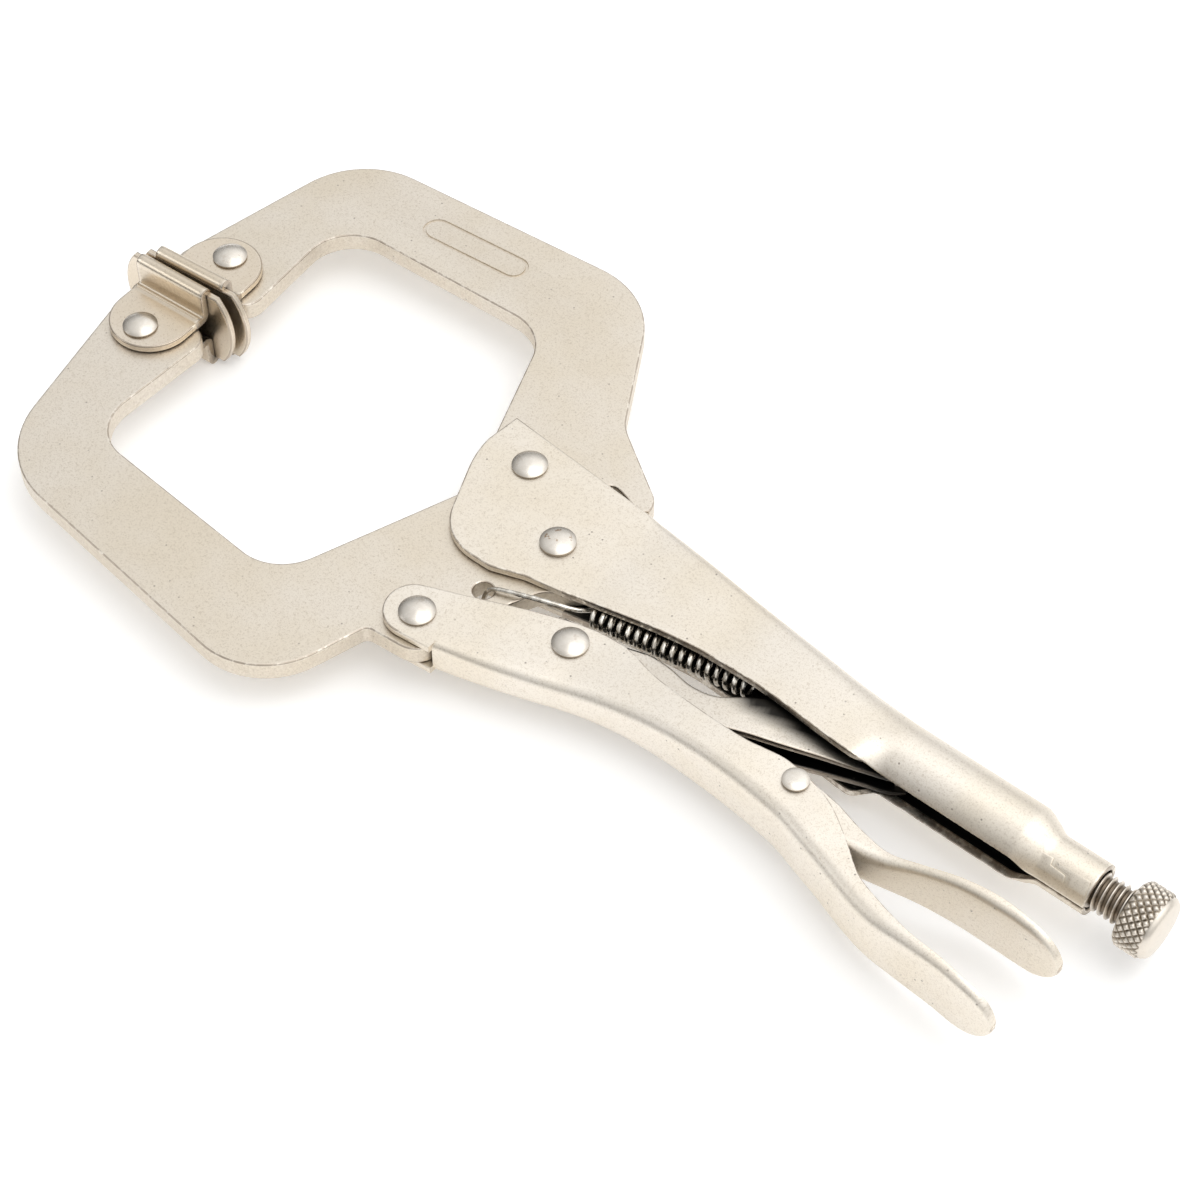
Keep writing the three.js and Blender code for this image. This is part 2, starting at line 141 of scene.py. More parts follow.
def finish_piece(name, bm, node, material, smooth=35.0, turn=0.0, pivot=(0.0, 0.0)):
    """Puts a finished mesh in its place as the piece that stands for a CAD node."""
    turned = Matrix.Rotation(math.radians(turn), 3, "Z")
    bmesh.ops.rotate(bm, verts=bm.verts, cent=(0, 0, 0), matrix=turned)
    bmesh.ops.translate(bm, verts=bm.verts, vec=(*pivot, 0))
    bmesh.ops.scale(bm, verts=bm.verts, vec=(MM, MM, MM))
    bmesh.ops.translate(bm, verts=bm.verts, vec=JAW_PIVOT)
    bmesh.ops.recalc_face_normals(bm, faces=bm.faces)
    mesh = bpy.data.meshes.new(name)
    bm.to_mesh(mesh)
    bm.free()
    mesh.shade_smooth()
    mesh.set_sharp_from_angle(angle=math.radians(smooth))
    mesh.materials.append(material)
    piece = bpy.data.objects.new(name, mesh)
    bpy.context.scene.collection.objects.link(piece)
    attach(piece, frame["nodes"][node]["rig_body"])
    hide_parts(node)


def rounded(corners, step=5.0):
    """The points of a closed outline with corners (x, y, radius), each rounded by an arc."""
    points = []
    for i, (x, y, radius) in enumerate(corners):
        corner = Vector((x, y))
        if radius == 0:
            points.append(corner)
            continue
        back = (Vector(corners[i - 1][:2]) - corner).normalized()
        ahead = (Vector(corners[(i + 1) % len(corners)][:2]) - corner).normalized()
        middle = (back + ahead).normalized()
        opening = math.acos(max(-1.0, min(1.0, back.dot(ahead))))
        centre = corner + middle * (radius / math.sin(opening / 2))
        turn = math.pi - opening
        side = 1 if back.x * ahead.y - back.y * ahead.x > 0 else -1
        towards = math.atan2(-middle.y, -middle.x)
        steps = max(3, math.ceil(math.degrees(turn) / step))
        for k in range(steps + 1):
            angle = towards - side * turn * (k / steps - 0.5)
            points.append(centre + radius * Vector((math.cos(angle), math.sin(angle))))
    spaced = [p for k, p in enumerate(points) if (p - points[k - 1]).length > 0.15]
    return [(p.x, p.y) for p in spaced]


def circle(radius, place):
    sides = 48
    angles = [2 * math.pi * k / sides for k in range(sides)]
    return [(place[0] + radius * math.cos(a), place[1] + radius * math.sin(a)) for a in angles]


def handed(loop, way):
    """The loop run anticlockwise where way is +1, and clockwise where it is -1."""
    area = sum(a[0] * b[1] - b[0] * a[1] for a, b in zip(loop, loop[1:] + loop[:1]))
    return loop if area * way > 0 else loop[::-1]


def drawn_in(loop, distance, seam=None):
    """The loop moved that far to its left. Points on a seam stay on it."""
    moved = []
    for k, point in enumerate(loop):
        here, last, after = Vector(point), loop[k - 1], loop[(k + 1) % len(loop)]
        back, ahead = (here - Vector(last)).normalized(), (Vector(after) - here).normalized()
        held, held_back, held_ahead = (bool(seam and seam(*p)) for p in (point, last, after))
        left = Vector((-back.y - ahead.y, back.x + ahead.x)).normalized()
        shift = left / max(0.5, left.dot(Vector((-back.y, back.x))))
        if held:
            along = ahead if held_ahead else -back
            shift = Vector((0, 0)) if held_back and held_ahead else along
        moved.append(tuple(here + shift * distance))
    return moved


def new_loop(bm, places):
    """A closed loop through the places, as (verts, edges)."""
    verts = [bm.verts.new(place) for place in places]
    return verts, [bm.edges.new((verts[k - 1], verts[k])) for k in range(len(verts))]


def extruded(bm, verts, edges):
    """The loop's copy on new faces, as (verts in the same order, edges)."""
    order = {tuple(v.co): k for k, v in enumerate(verts)}
    made = bmesh.ops.extrude_edge_only(bm, edges=edges)["geom"]
    fresh = {g for g in made if isinstance(g, bmesh.types.BMVert)}
    drawn = [g for g in made if isinstance(g, bmesh.types.BMEdge) and set(g.verts) <= fresh]
    return sorted(fresh, key=lambda v: order[tuple(v.co)]), drawn


def draw_rows(bm, rows):
    """Draws a loop through rows of (points, height, rim, cut), and gives the edges of the first
    loop and of the last."""
    rim, _, cut = marks(bm)
    verts, edges = new_loop(bm, [(x, y, rows[0][1]) for x, y in rows[0][0]])
    first = edges
    for number, (points, height, rim_mark, cut_mark) in enumerate(rows):
        if number:
            verts, edges = extruded(bm, verts, edges)
        for vert, (x, y) in zip(verts, points):
            vert.co = (x, y, height)
            vert[rim], vert[cut] = rim_mark, cut_mark
    return first, edges


def add_plate(bm, outline, holes, low, high, edge_round=EDGE_ROUND, seam=None, sunk=()):
    """A stamped plate with rounded edges: loops drawn up its walls and filled at both faces.
    seam(x, y) says where the plate runs on into another part, so it keeps a plain edge. sunk
    holds pairs of loops with a shallow groove pressed between them."""
    rim_layer, _, cut_layer = marks(bm)
    mine = set(bm.verts)
    half = [(RIM, 0.0, 0.0, 0.0)]
    for k in range(4):
        angle = math.radians(30 * k)
        half.append((edge_round * (1 - math.sin(angle)), edge_round * (1 - math.cos(angle)), 1.0, 0.0))
    half.append((0.0, edge_round + 0.3, 0.0, 1.0))
    rows = [(inset, low + rise, rim, cut) for inset, rise, rim, cut in half]
    rows += [(inset, high - rise, rim, cut) for inset, rise, rim, cut in reversed(half)]
    under, over = [], []
    for loop in [handed(outline, 1)] + [handed(hole, -1) for hole in holes]:
        drawn = [(drawn_in(loop, inset, seam), z, rim, cut) for inset, z, rim, cut in rows]
        first, last = draw_rows(bm, drawn)
        under += first
        over += last
    for outer, inner in sunk:
        floor = high - GROOVE_DEPTH
        # The groove's floor, and its lips less, take the cut mark and are painted darker.
        groove = [(handed(outer, -1), high, 0, 0.4), (drawn_in(handed(outer, 1), 0.1)[::-1], floor, 0, 1),
                  (drawn_in(handed(inner, -1), 0.1), floor, 0, 1), (handed(inner, -1), high, 0, 0.4)]
        first, last = draw_rows(bm, groove)
        over += first
        bmesh.ops.triangle_fill(bm, edges=last, normal=(0, 0, 1))
    bmesh.ops.triangle_fill(bm, edges=over, normal=(0, 0, 1))
    bmesh.ops.triangle_fill(bm, edges=under, normal=(0, 0, -1))
    if seam:
        fresh = [v for v in bm.verts if v not in mine]
        for vert in fresh:
            if seam(vert.co.x, vert.co.y):
                vert[rim_layer] = vert[cut_layer] = 0.0
        bmesh.ops.remove_doubles(bm, verts=fresh, dist=JOIN)


def through(stations, tight=False):
    """Sections from the first station to the last, a step apart, on smooth curves through the
    stations' points. Tight curves don't swing past a station."""
    xs = np.array([x for x, _ in stations], float)
    rings = np.array([ring for _, ring in stations], float)
    gaps = np.diff(xs)[:, None, None]
    rises = np.diff(rings, axis=0) / gaps
    before, after = rises[:-1], rises[1:]
    inner = (before * gaps[1:] + after * gaps[:-1]) / (gaps[1:] + gaps[:-1])
    if tight:
        same = before * after > 0
        safe = np.where(same, before + after, 1.0)
        inner = np.where(same, 2 * before * after / safe, 0.0)
    slopes = np.concatenate([rises[:1], inner, rises[-1:]])
    places = sorted({round(float(x), 4) for x in [*np.arange(xs[0], xs[-1], SECTION_STEP), *xs]})
    sections = []
    for x in places:
        k = int(min(max(np.searchsorted(xs, x, side="right") - 1, 0), len(xs) - 2))
        gap = xs[k + 1] - xs[k]
        t = (x - xs[k]) / gap
        ring = ((2 * t**3 - 3 * t**2 + 1) * rings[k] + (t**3 - 2 * t**2 + t) * gap * slopes[k]
                + (3 * t**2 - 2 * t**3) * rings[k + 1] + (t**3 - t**2) * gap * slopes[k + 1])
        sections.append((x, ring))
    return sections


WALL_POINTS, BEND_POINTS, WEB_POINTS = 5, 6, 3
EDGE_POINTS = 3             # points that round a sheet's edge on each face


def folded_half(web, edge, half, bend, side):
    """Half a channel's section, (z, y) from the free edge round the bend to the middle of the
    web. side is +1 where the web is above the free edges, and -1 where it is below them."""
    bend = max(0.05, min(bend, abs(web - edge) - 0.08))
    start = web - side * bend
    near = edge + (start - edge) * min(0.3, RIM / max(abs(start - edge), 0.01))
    points = [(half, edge)]
    points += [(half, near + (start - near) * k / WALL_POINTS) for k in range(WALL_POINTS)]
    for k in range(BEND_POINTS):
        angle = k / (BEND_POINTS - 1) * math.pi / 2
        points.append((half - bend + bend * math.cos(angle), start + side * bend * math.sin(angle)))
    return points + [((half - bend) * (1 - k / WEB_POINTS), web) for k in range(1, WEB_POINTS + 1)]


def rolled_half(axis_y, half, tall, slot):
    """Half an oval section, open below by the width of the slot, with as many points up its wall,
    round its shoulder and across its crown as a channel has."""
    start = -math.acos(slot / 2 / half)
    near, shoulder, crown, top = start + RIM / tall, math.radians(12), math.radians(84), math.pi / 2
    turns = [start] + [near + (shoulder - near) * k / WALL_POINTS for k in range(WALL_POINTS)]
    turns += [shoulder + (crown - shoulder) * k / (BEND_POINTS - 1) for k in range(BEND_POINTS)]
    turns += [crown + (top - crown) * k / WEB_POINTS for k in range(1, WEB_POINTS + 1)]
    return [(half * math.cos(a), axis_y + tall * math.sin(a)) for a in turns]


def whole_ring(outer, inner):
    """A closed ring of a sheet's section, out along one face and back along the other, with its
    free edges rounded."""
    def rounded_from(face, other):
        here, along, across = (Vector(p) for p in (face[0], face[1], other[0]))
        up, over = along - here, across - here
        radius = min(EDGE_ROUND, 0.4 * up.length, 0.3 * over.length)
        up, over = up.normalized() * radius, over.normalized() * radius
        return [tuple(here + over), tuple(here + (up + over) * 0.29), tuple(here + up)] + face[1:]

    def both(half):
        return half + [(-z, y) for z, y in reversed(half[:-1])]
    return both(rounded_from(outer, inner)) + both(rounded_from(inner, outer))[::-1]


def thinned(ring, amount):
    """The ring with each face drawn towards the other, to round a sheet's end."""
    moved = []
    for near, far in zip(ring, reversed(ring)):
        across = Vector(far) - Vector(near)
        moved.append(tuple(Vector(near) + across.normalized() * min(amount, 0.3 * across.length)))
    return moved


def channel_ring(web, edge, half, bend, side, wall=SHEET):
    outer = folded_half(web, edge, half, bend, side)
    inner_web = edge + side * max(side * (web - edge) - wall, 0.16)
    inner_half = max(half - wall, half * 0.6)
    inner_bend = min(max(bend - wall, 0.25), 0.5 * inner_half)
    return whole_ring(outer, folded_half(inner_web, edge, inner_half, inner_bend, side))


def tube_ring(axis_y, half, tall, slot, wall=SHEET):
    return whole_ring(rolled_half(axis_y, half, tall, slot),
                      rolled_half(axis_y, half - wall, tall - wall, slot))


def add_sheet(bm, sections, plain_start=False):
    """A pressed sheet drawn from section to section by extruding its ring, with rounded ends."""
    rim, inside, _ = marks(bm)
    face_points = len(sections[0][1]) // 2
    (start, first_ring), (end, last_ring) = sections[0], sections[-1]
    drawn = [(x, ring, 0.0) for x, ring in sections]
    drawn[-1:] = [(end - 0.22, last_ring, 1.0), (end - 0.06, thinned(last_ring, 0.07), 1.0),
                  (end, thinned(last_ring, 0.22), 1.0)]
    if not plain_start:
        drawn[:1] = [(start, thinned(first_ring, 0.22), 1.0),
                     (start + 0.06, thinned(first_ring, 0.07), 1.0), (start + 0.22, first_ring, 1.0)]
    verts, edges = new_loop(bm, [(drawn[0][0], y, z) for z, y in drawn[0][1]])
    first = edges
    for number, (x, ring, worn) in enumerate(drawn):
        if number:
            verts, edges = extruded(bm, verts, edges)
        for k, (vert, (z, y)) in enumerate(zip(verts, ring)):
            vert.co = (x, y, z)
            from_edge = min(k % face_points, face_points - 1 - k % face_points)
            at_edge = from_edge < EDGE_POINTS
            vert[rim] = 1.0 if at_edge else worn
            # The inner face takes the inside mark, which paints shade inside the channel.
            vert[inside] = 1.0 if k >= face_points and not at_edge and not worn else 0.0
    bmesh.ops.contextual_create(bm, geom=first)
    bmesh.ops.contextual_create(bm, geom=edges)


def add_turned(bm, profile, steps):
    """A piece turned about the screw's line from (x, radius) points."""
    verts = [bm.verts.new((x, NECK_AXIS + radius, 0)) for x, radius in profile]
    edges = [bm.edges.new((verts[k], verts[k + 1])) for k in range(len(verts) - 1)]
    bmesh.ops.spin(bm, geom=verts + edges, cent=(0, NECK_AXIS, 0), axis=(1, 0, 0),
                   angle=2 * math.pi, steps=steps, use_merge=True)
    bmesh.ops.remove_doubles(bm, verts=bm.verts, dist=TURNED_JOIN)


# ---- Finishes ------------------------------------------------------------------------------------


class Graph:
    """Adds nodes to a tree and joins them to what feeds them."""

    def __init__(self, tree):
        self.tree = tree

    def node(self, kind, feeds=None, **settings):
        made = self.tree.nodes.new(kind)
        for name, value in settings.items():
            setattr(made, name, value)
        for socket, value in (feeds or {}).items():
            if isinstance(value, bpy.types.NodeSocket):
                self.tree.links.new(value, made.inputs[socket])
            else:
                made.inputs[socket].default_value = value
        return made

    def math(self, operation, *values, clamp=False):
        feeds = dict(enumerate(values))
        return self.node("ShaderNodeMath", feeds, operation=operation, use_clamp=clamp).outputs[0]

    def join(self, value, node, socket):
        self.tree.links.new(value, node.inputs[socket])

    def bump(self, height, strength, distance, shader):
        feeds = {"Height": height, "Strength": strength, "Distance": distance}
        self.join(self.node("ShaderNodeBump", feeds).outputs["Normal"], shader, "Normal")

    def mix(self, share, first, second):
        """The first colour, with that share of the second."""
        made = self.node("ShaderNodeMix", data_type="RGBA")
        for socket, value in ((0, share), (6, first), (7, second)):
            if isinstance(value, bpy.types.NodeSocket):
                self.tree.links.new(value, made.inputs[socket])
            else:
                made.inputs[socket].default_value = value
        return made.outputs[2]

    def ramp(self, value, low, high):
        """0 below low and 1 above high, smoothly between; low may be the larger."""
        made = self.node("ShaderNodeMapRange", {"Value": value, "From Min": low, "From Max": high})
        made.interpolation_type = "SMOOTHSTEP"
        return made.outputs["Result"]

    def noise(self, where, scale, detail=2.0, roughness=0.5):
        feeds = {"Vector": where, "Scale": scale, "Detail": detail, "Roughness": roughness}
        return self.node("ShaderNodeTexNoise", feeds).outputs["Fac"]


def effect(name, inputs, outputs):
    """A node group with those sockets, as (group, graph, its inputs, its output node)."""
    group = bpy.data.node_groups.new(name, "ShaderNodeTree")
    for socket, kind, value in inputs:
        made = group.interface.new_socket(name=socket, in_out="INPUT", socket_type=kind)
        if value is not None:
            made.default_value = value
    for socket, kind in outputs:
        group.interface.new_socket(name=socket, in_out="OUTPUT", socket_type=kind)
    graph = Graph(group)
    entry = graph.node("NodeGroupInput").outputs
    exit_node = graph.node("NodeGroupOutput")
    return group, graph, entry, exit_node


FLOAT, VECTOR = "NodeSocketFloat", "NodeSocketVector"


def make_plate_grain():
    """The matt grain of nickel over blasted steel: fine speckle, broad clouds and sparse pits."""
    group, graph, entry, exit_node = effect(
        "plate_grain",
        [("Where", VECTOR, None), ("Pits", FLOAT, 1.0)],
        [("Speckle", FLOAT), ("Clouds", FLOAT), ("Pitting", FLOAT), ("Height", FLOAT)],
    )
    where = entry["Where"]
    fine = graph.noise(where, 3400, 3.0, 0.7)
    coarse = graph.noise(where, 1600, 2.0, 0.65)
    speckle = graph.math("ADD", graph.math("MULTIPLY", fine, 0.65), graph.math("MULTIPLY", coarse, 0.35))
    clouds = graph.noise(where, 38, 3.0, 0.55)
    cells = graph.node("ShaderNodeTexVoronoi", {"Vector": where, "Scale": 640.0, "Randomness": 1.0})
    chance = graph.node("ShaderNodeSeparateColor", {"Color": cells.outputs["Color"]}).outputs[0]
    few = graph.ramp(graph.math("ADD", chance, graph.math("MULTIPLY", clouds, 0.25)), 0.98, 1.1)
    small = graph.ramp(cells.outputs["Distance"], 0.2, 0.06)
    pitting = graph.math("MULTIPLY", graph.math("MULTIPLY", few, small), entry["Pits"], clamp=True)
    height = graph.math("SUBTRACT", speckle, graph.math("MULTIPLY", pitting, 1.5))
    results = {"Speckle": speckle, "Clouds": clouds, "Pitting": pitting, "Height": height}
    for socket, value in results.items():
        graph.join(value, exit_node, socket)
    return group


def make_worn_shaded_edge():
    """Wear and painted shade beside an edge, from the rim mark: a brighter worn band, and a broken dark
    brown line that is partly stain where the plate is thin and partly painted shade along the edge.
    """
    group, graph, entry, exit_node = effect(
        "worn_shaded_edge",
        [("Where", VECTOR, None), ("Rim", FLOAT, 0.0), ("Reach", FLOAT, 0.5)],
        [("Bright", FLOAT), ("Stain_and_shade", FLOAT)],
    )
    where, rim = entry["Where"], entry["Rim"]
    broken = graph.noise(where, 420, 4.0, 0.7)
    reach = graph.math("ADD", rim, graph.math("MULTIPLY", graph.math("SUBTRACT", broken, 0.5), 1.4))
    limit = graph.math("SUBTRACT", 1.25, entry["Reach"])
    # The broken dark line: stain where the plate is thin, and painted shade along the edge.
    stain = graph.ramp(graph.math("SUBTRACT", reach, limit), 0.0, 0.28)
    bright = graph.ramp(rim, 0.15, 0.95)
    graph.join(graph.math("MULTIPLY", stain, graph.ramp(rim, 0.6, 0.98)), exit_node, "Stain_and_shade")
    graph.join(bright, exit_node, "Bright")
    return group


PLATE_GRAIN = make_plate_grain()
WORN_SHADED_EDGE = make_worn_shaded_edge()


def attribute(graph, name):
    return graph.node("ShaderNodeAttribute", attribute_name=name, attribute_type="GEOMETRY").outputs["Fac"]


def new_material(name):
    """A material, its graph, its shader and the piece's Object coordinates."""
    material = bpy.data.materials.new(name)
    material.use_nodes = True
    graph = Graph(material.node_tree)
    shader = material.node_tree.nodes["Principled BSDF"]
    where = graph.node("ShaderNodeTexCoord").outputs["Object"]
    return material, graph, shader, where


def scaled(colour, *shares):
    """The colour with each channel multiplied by its share, or all of them by the only one."""
    shares = shares if len(shares) == 3 else shares * 3
    return (*[channel * share for channel, share in zip(colour, shares)], 1)


def satin_nickel(name, colour, roughness, pits=1.0, stain=0.45, grain=1.0, inside_dark=0.12):
    """Satin nickel plate on pressed or stamped steel. stain is how far the dark brown line, part stain
    and part painted shade, reaches along worn edges, grain how rough the blasted steel is, and
    inside_dark the painted shade left inside a channel."""
    material, graph, shader, where = new_material(name)
    surface = graph.node("ShaderNodeGroup", node_tree=PLATE_GRAIN)
    graph.join(where, surface, "Where")
    surface.inputs["Pits"].default_value = pits
    wear = graph.node("ShaderNodeGroup", node_tree=WORN_SHADED_EDGE)
    graph.join(where, wear, "Where")
    graph.join(attribute(graph, "rim"), wear, "Rim")
    wear.inputs["Reach"].default_value = stain
    speckle, clouds, pitting = (surface.outputs[name] for name in ("Speckle", "Clouds", "Pitting"))
    worn, stained = wear.outputs["Bright"], wear.outputs["Stain_and_shade"]
    warm, dark = scaled(colour, 0.95, 0.925, 0.87), scaled(colour, 0.6, 0.55, 0.48)
    base = graph.mix(graph.ramp(clouds, 0.3, 0.7), warm, (*colour, 1))
    specks = graph.math("MULTIPLY", graph.ramp(speckle, 0.54, 0.3), 0.5 * grain, clamp=True)
    base = graph.mix(specks, base, dark)
    base = graph.mix(graph.math("MULTIPLY", worn, 0.3), base, (0.93, 0.89, 0.82, 1))
    torn = graph.ramp(graph.noise(where, 1500, 3.0, 0.7), 0.2, 0.8)
    cut = graph.math("MULTIPLY", attribute(graph, "cut"), torn)
    base = graph.mix(graph.math("MULTIPLY", cut, 0.32), base, (0.42, 0.35, 0.27, 1))
    # The dark brown edge line: part stain, part painted shade along the edges.
    base = graph.mix(graph.math("MULTIPLY", stained, 0.6), base, (0.26, 0.19, 0.13, 1))
    base = graph.mix(graph.math("MULTIPLY", pitting, 0.75), base, (0.12, 0.09, 0.07, 1))
    # Painted shade inside the channels, from the inside mark.
    base = graph.mix(attribute(graph, "inside"), base, scaled(colour, inside_dark))
    graph.join(base, shader, "Base Color")
    rough = graph.math("ADD", roughness - 0.1, graph.math("MULTIPLY", speckle, 0.2))
    rough = graph.math("SUBTRACT", rough, graph.math("MULTIPLY", worn, 0.08))
    rough = graph.math("ADD", rough, graph.math("MULTIPLY", cut, 0.12), clamp=True)
    graph.join(rough, shader, "Roughness")
    metal = graph.math("SUBTRACT", 1.0, graph.math("MULTIPLY", pitting, 0.7), clamp=True)
    graph.join(metal, shader, "Metallic")
    graph.bump(surface.outputs["Height"], 0.35 * grain, 0.00006, shader)
    return material


def bright_rivet(name, rust):
    """Rivet heads: brighter where the set polished them, with a dark line at the foot where it meets
    the plate and painted shade up its straight side, fading over the edge of the crown. On a
    rivet the cut mark shows the crown, where rust can settle."""
    material, graph, shader, where = new_material(name)
    scratch = graph.noise(where, 900, 4.0, 0.65)
    blot = graph.noise(where, 420, 3.0, 0.65)
    rim, crown = attribute(graph, "rim"), attribute(graph, "cut")
    base = graph.mix(graph.ramp(scratch, 0.35, 0.7), (0.76, 0.71, 0.64, 1), (0.81, 0.765, 0.7, 1))
    rusted = graph.math("MULTIPLY", crown, rust)
    spots = graph.math("MULTIPLY", graph.ramp(blot, 0.58, 0.66), rusted, clamp=True)
    base = graph.mix(spots, base, (0.36, 0.23, 0.13, 1))
    # Painted shade: dark round the foot and up the straight side, fading over the crown's edge.
    base = graph.mix(graph.math("MULTIPLY", rim, 0.8), base, (0.18, 0.14, 0.1, 1))
    graph.join(base, shader, "Base Color")
    graph.join(graph.math("ADD", 0.22, graph.math("MULTIPLY", scratch, 0.08)), shader, "Roughness")
    shader.inputs["Metallic"].default_value = 1.0
    graph.bump(scratch, 0.06, 0.00005, shader)
    return material


def drawn_wire(name):
    """Plated drawn wire with dulled patches."""
    material, graph, shader, where = new_material(name)
    dull = graph.noise(where, 600, 3.0, 0.6)
    base = graph.mix(graph.ramp(dull, 0.35, 0.65), (0.5, 0.46, 0.4, 1), (0.85, 0.82, 0.76, 1))
    graph.join(base, shader, "Base Color")
    graph.join(graph.math("ADD", 0.16, graph.math("MULTIPLY", dull, 0.2)), shader, "Roughness")
    shader.inputs["Metallic"].default_value = 1.0
    return material


def turned_steel(name, light, dark, roughness):
    """Grey-brown turned steel, dark in its grooves and worn bright on its crests, which hold the
    rim mark."""
    material, graph, shader, where = new_material(name)
    crest = attribute(graph, "rim")
    grime = graph.noise(where, 900, 4.0, 0.7)
    height = graph.math("ADD", crest, graph.math("MULTIPLY", graph.math("SUBTRACT", grime, 0.5), 0.7))
    base = graph.mix(graph.ramp(height, 0.05, 0.85), (*dark, 1), (*light, 1))
    graph.join(base, shader, "Base Color")
    rough = graph.math("ADD", roughness, graph.math("MULTIPLY", grime, 0.2), clamp=True)
    graph.join(rough, shader, "Roughness")
    shader.inputs["Metallic"].default_value = 1.0
    graph.bump(grime, 0.3, 0.0001, shader)
    return material


JAW_NICKEL = satin_nickel("jaw_nickel", (0.8, 0.74, 0.655), 0.4, pits=0.8, stain=0.5, grain=1.3)
HANDLE_NICKEL = satin_nickel("handle_nickel", (0.875, 0.82, 0.74), 0.45, grain=1.3)
PAD_NICKEL = satin_nickel("pad_nickel", (0.78, 0.7, 0.595), 0.3, pits=0.6, stain=0.62)
LINK_NICKEL = satin_nickel("link_nickel", (0.8, 0.75, 0.68), 0.42, stain=0.6, grain=1.6, inside_dark=0.035)
RIVET_NICKEL = bright_rivet("rivet_nickel", rust=0.2)
STAINED_RIVET = bright_rivet("stained_rivet_nickel", rust=0.9)
SPRING_WIRE = drawn_wire("spring_wire")
THREAD_STEEL = turned_steel("thread_steel", (0.78, 0.72, 0.645), (0.2, 0.16, 0.12), 0.26)
KNURL_STEEL = turned_steel("knurl_steel", (0.76, 0.7, 0.62), (0.2, 0.16, 0.115), 0.28)

# ---- Jaws ----------------------------------------------------------------------------------------

UPPER_JAW_OUTLINE = [
    (8.2, 18.9, 1.2), (8, 23.7, 5.5), (-12, 36.8, 12.3), (-33.9, 73.4, 22.6), (-118.6, 65.4, 20.6),
    (-128.2, 8.2, 5.1), (-101.6, 8.2, 5.1), (-105.9, 45, 11.3), (-45.2, 48, 12.3),
    (-28.5, 6.7, 3.1), (-11.3, 6.7, 4.1), (-6.7, 17, 2.1), (-2.6, 22.2, 2.6),
]
LOWER_JAW_OUTLINE = [
    (-25.2, 3.3, 3.1), (-12.3, 3.3, 4), (-7.2, 9.6, 3.5), (7.2, 9.6, 5), (13.7, -4.4, 4.1),
    (4.9, -11.3, 5), (1.6, -19, 4.1), (-2.8, -27.2, 3.1), (-2.8, -40.6, 6), (-16.9, -41.9, 2),
    (-24.6, -69.3, 18.5), (-113, -59.1, 24.7), (-128.7, -2.3, 5.1), (-102.4, -2.3, 5.1),
    (-102.6, -40.1, 11.3), (-42, -44.4, 12.3),
]
BADGE_MIDDLE, BADGE_LENGTH, BADGE_WIDTH, BADGE_TURN, BADGE_GROOVE = (-75.4, 58.3), 29.3, 7.2, 5, 0.85


def badge_outline(length, width):
    """The outline of the pressed badge, with round ends, turned to lie along the jaw."""
    radius = width / 2
    points = []
    for sign in (1, -1):
        for k in range(17):
            angle = math.pi * (k / 16 - 0.5)
            x = length / 2 - radius + radius * math.cos(angle)
            points.append((sign * x, sign * radius * math.sin(angle)))
    turn = math.radians(BADGE_TURN)
    return [(BADGE_MIDDLE[0] + x * math.cos(turn) - y * math.sin(turn),
             BADGE_MIDDLE[1] + x * math.sin(turn) + y * math.cos(turn)) for x, y in points]


def make_upper_jaw():
    bm = new_mesh()
    holes = [circle(HOLE_RADIUS, spot(node)) for node in ("upper_jaw_rivet", "upper_pad_rivet")]
    badge = (badge_outline(BADGE_LENGTH, BADGE_WIDTH),
             badge_outline(BADGE_LENGTH - 2 * BADGE_GROOVE, BADGE_WIDTH - 2 * BADGE_GROOVE))
    add_plate(bm, rounded(UPPER_JAW_OUTLINE), holes, -PLATE_HALF, PLATE_HALF, sunk=[badge])
    finish_piece("upper_jaw_plate", bm, "upper_jaw", JAW_NICKEL)


def make_lower_jaw():
    bm = new_mesh()
    nodes = ("jaw_pivot_rivet", "handle_pivot_rivet", "lower_pad_rivet")
    holes = [circle(HOLE_RADIUS, spot(node)) for node in nodes]
    holes.append(circle(SPRING_HOLE_RADIUS, SPRING_HOLE))
    add_plate(bm, rounded(LOWER_JAW_OUTLINE), holes, -PLATE_HALF, PLATE_HALF)
    finish_piece("lower_jaw_plate", bm, "lower_jaw", JAW_NICKEL)


# ---- Swivel pads ---------------------------------------------------------------------------------


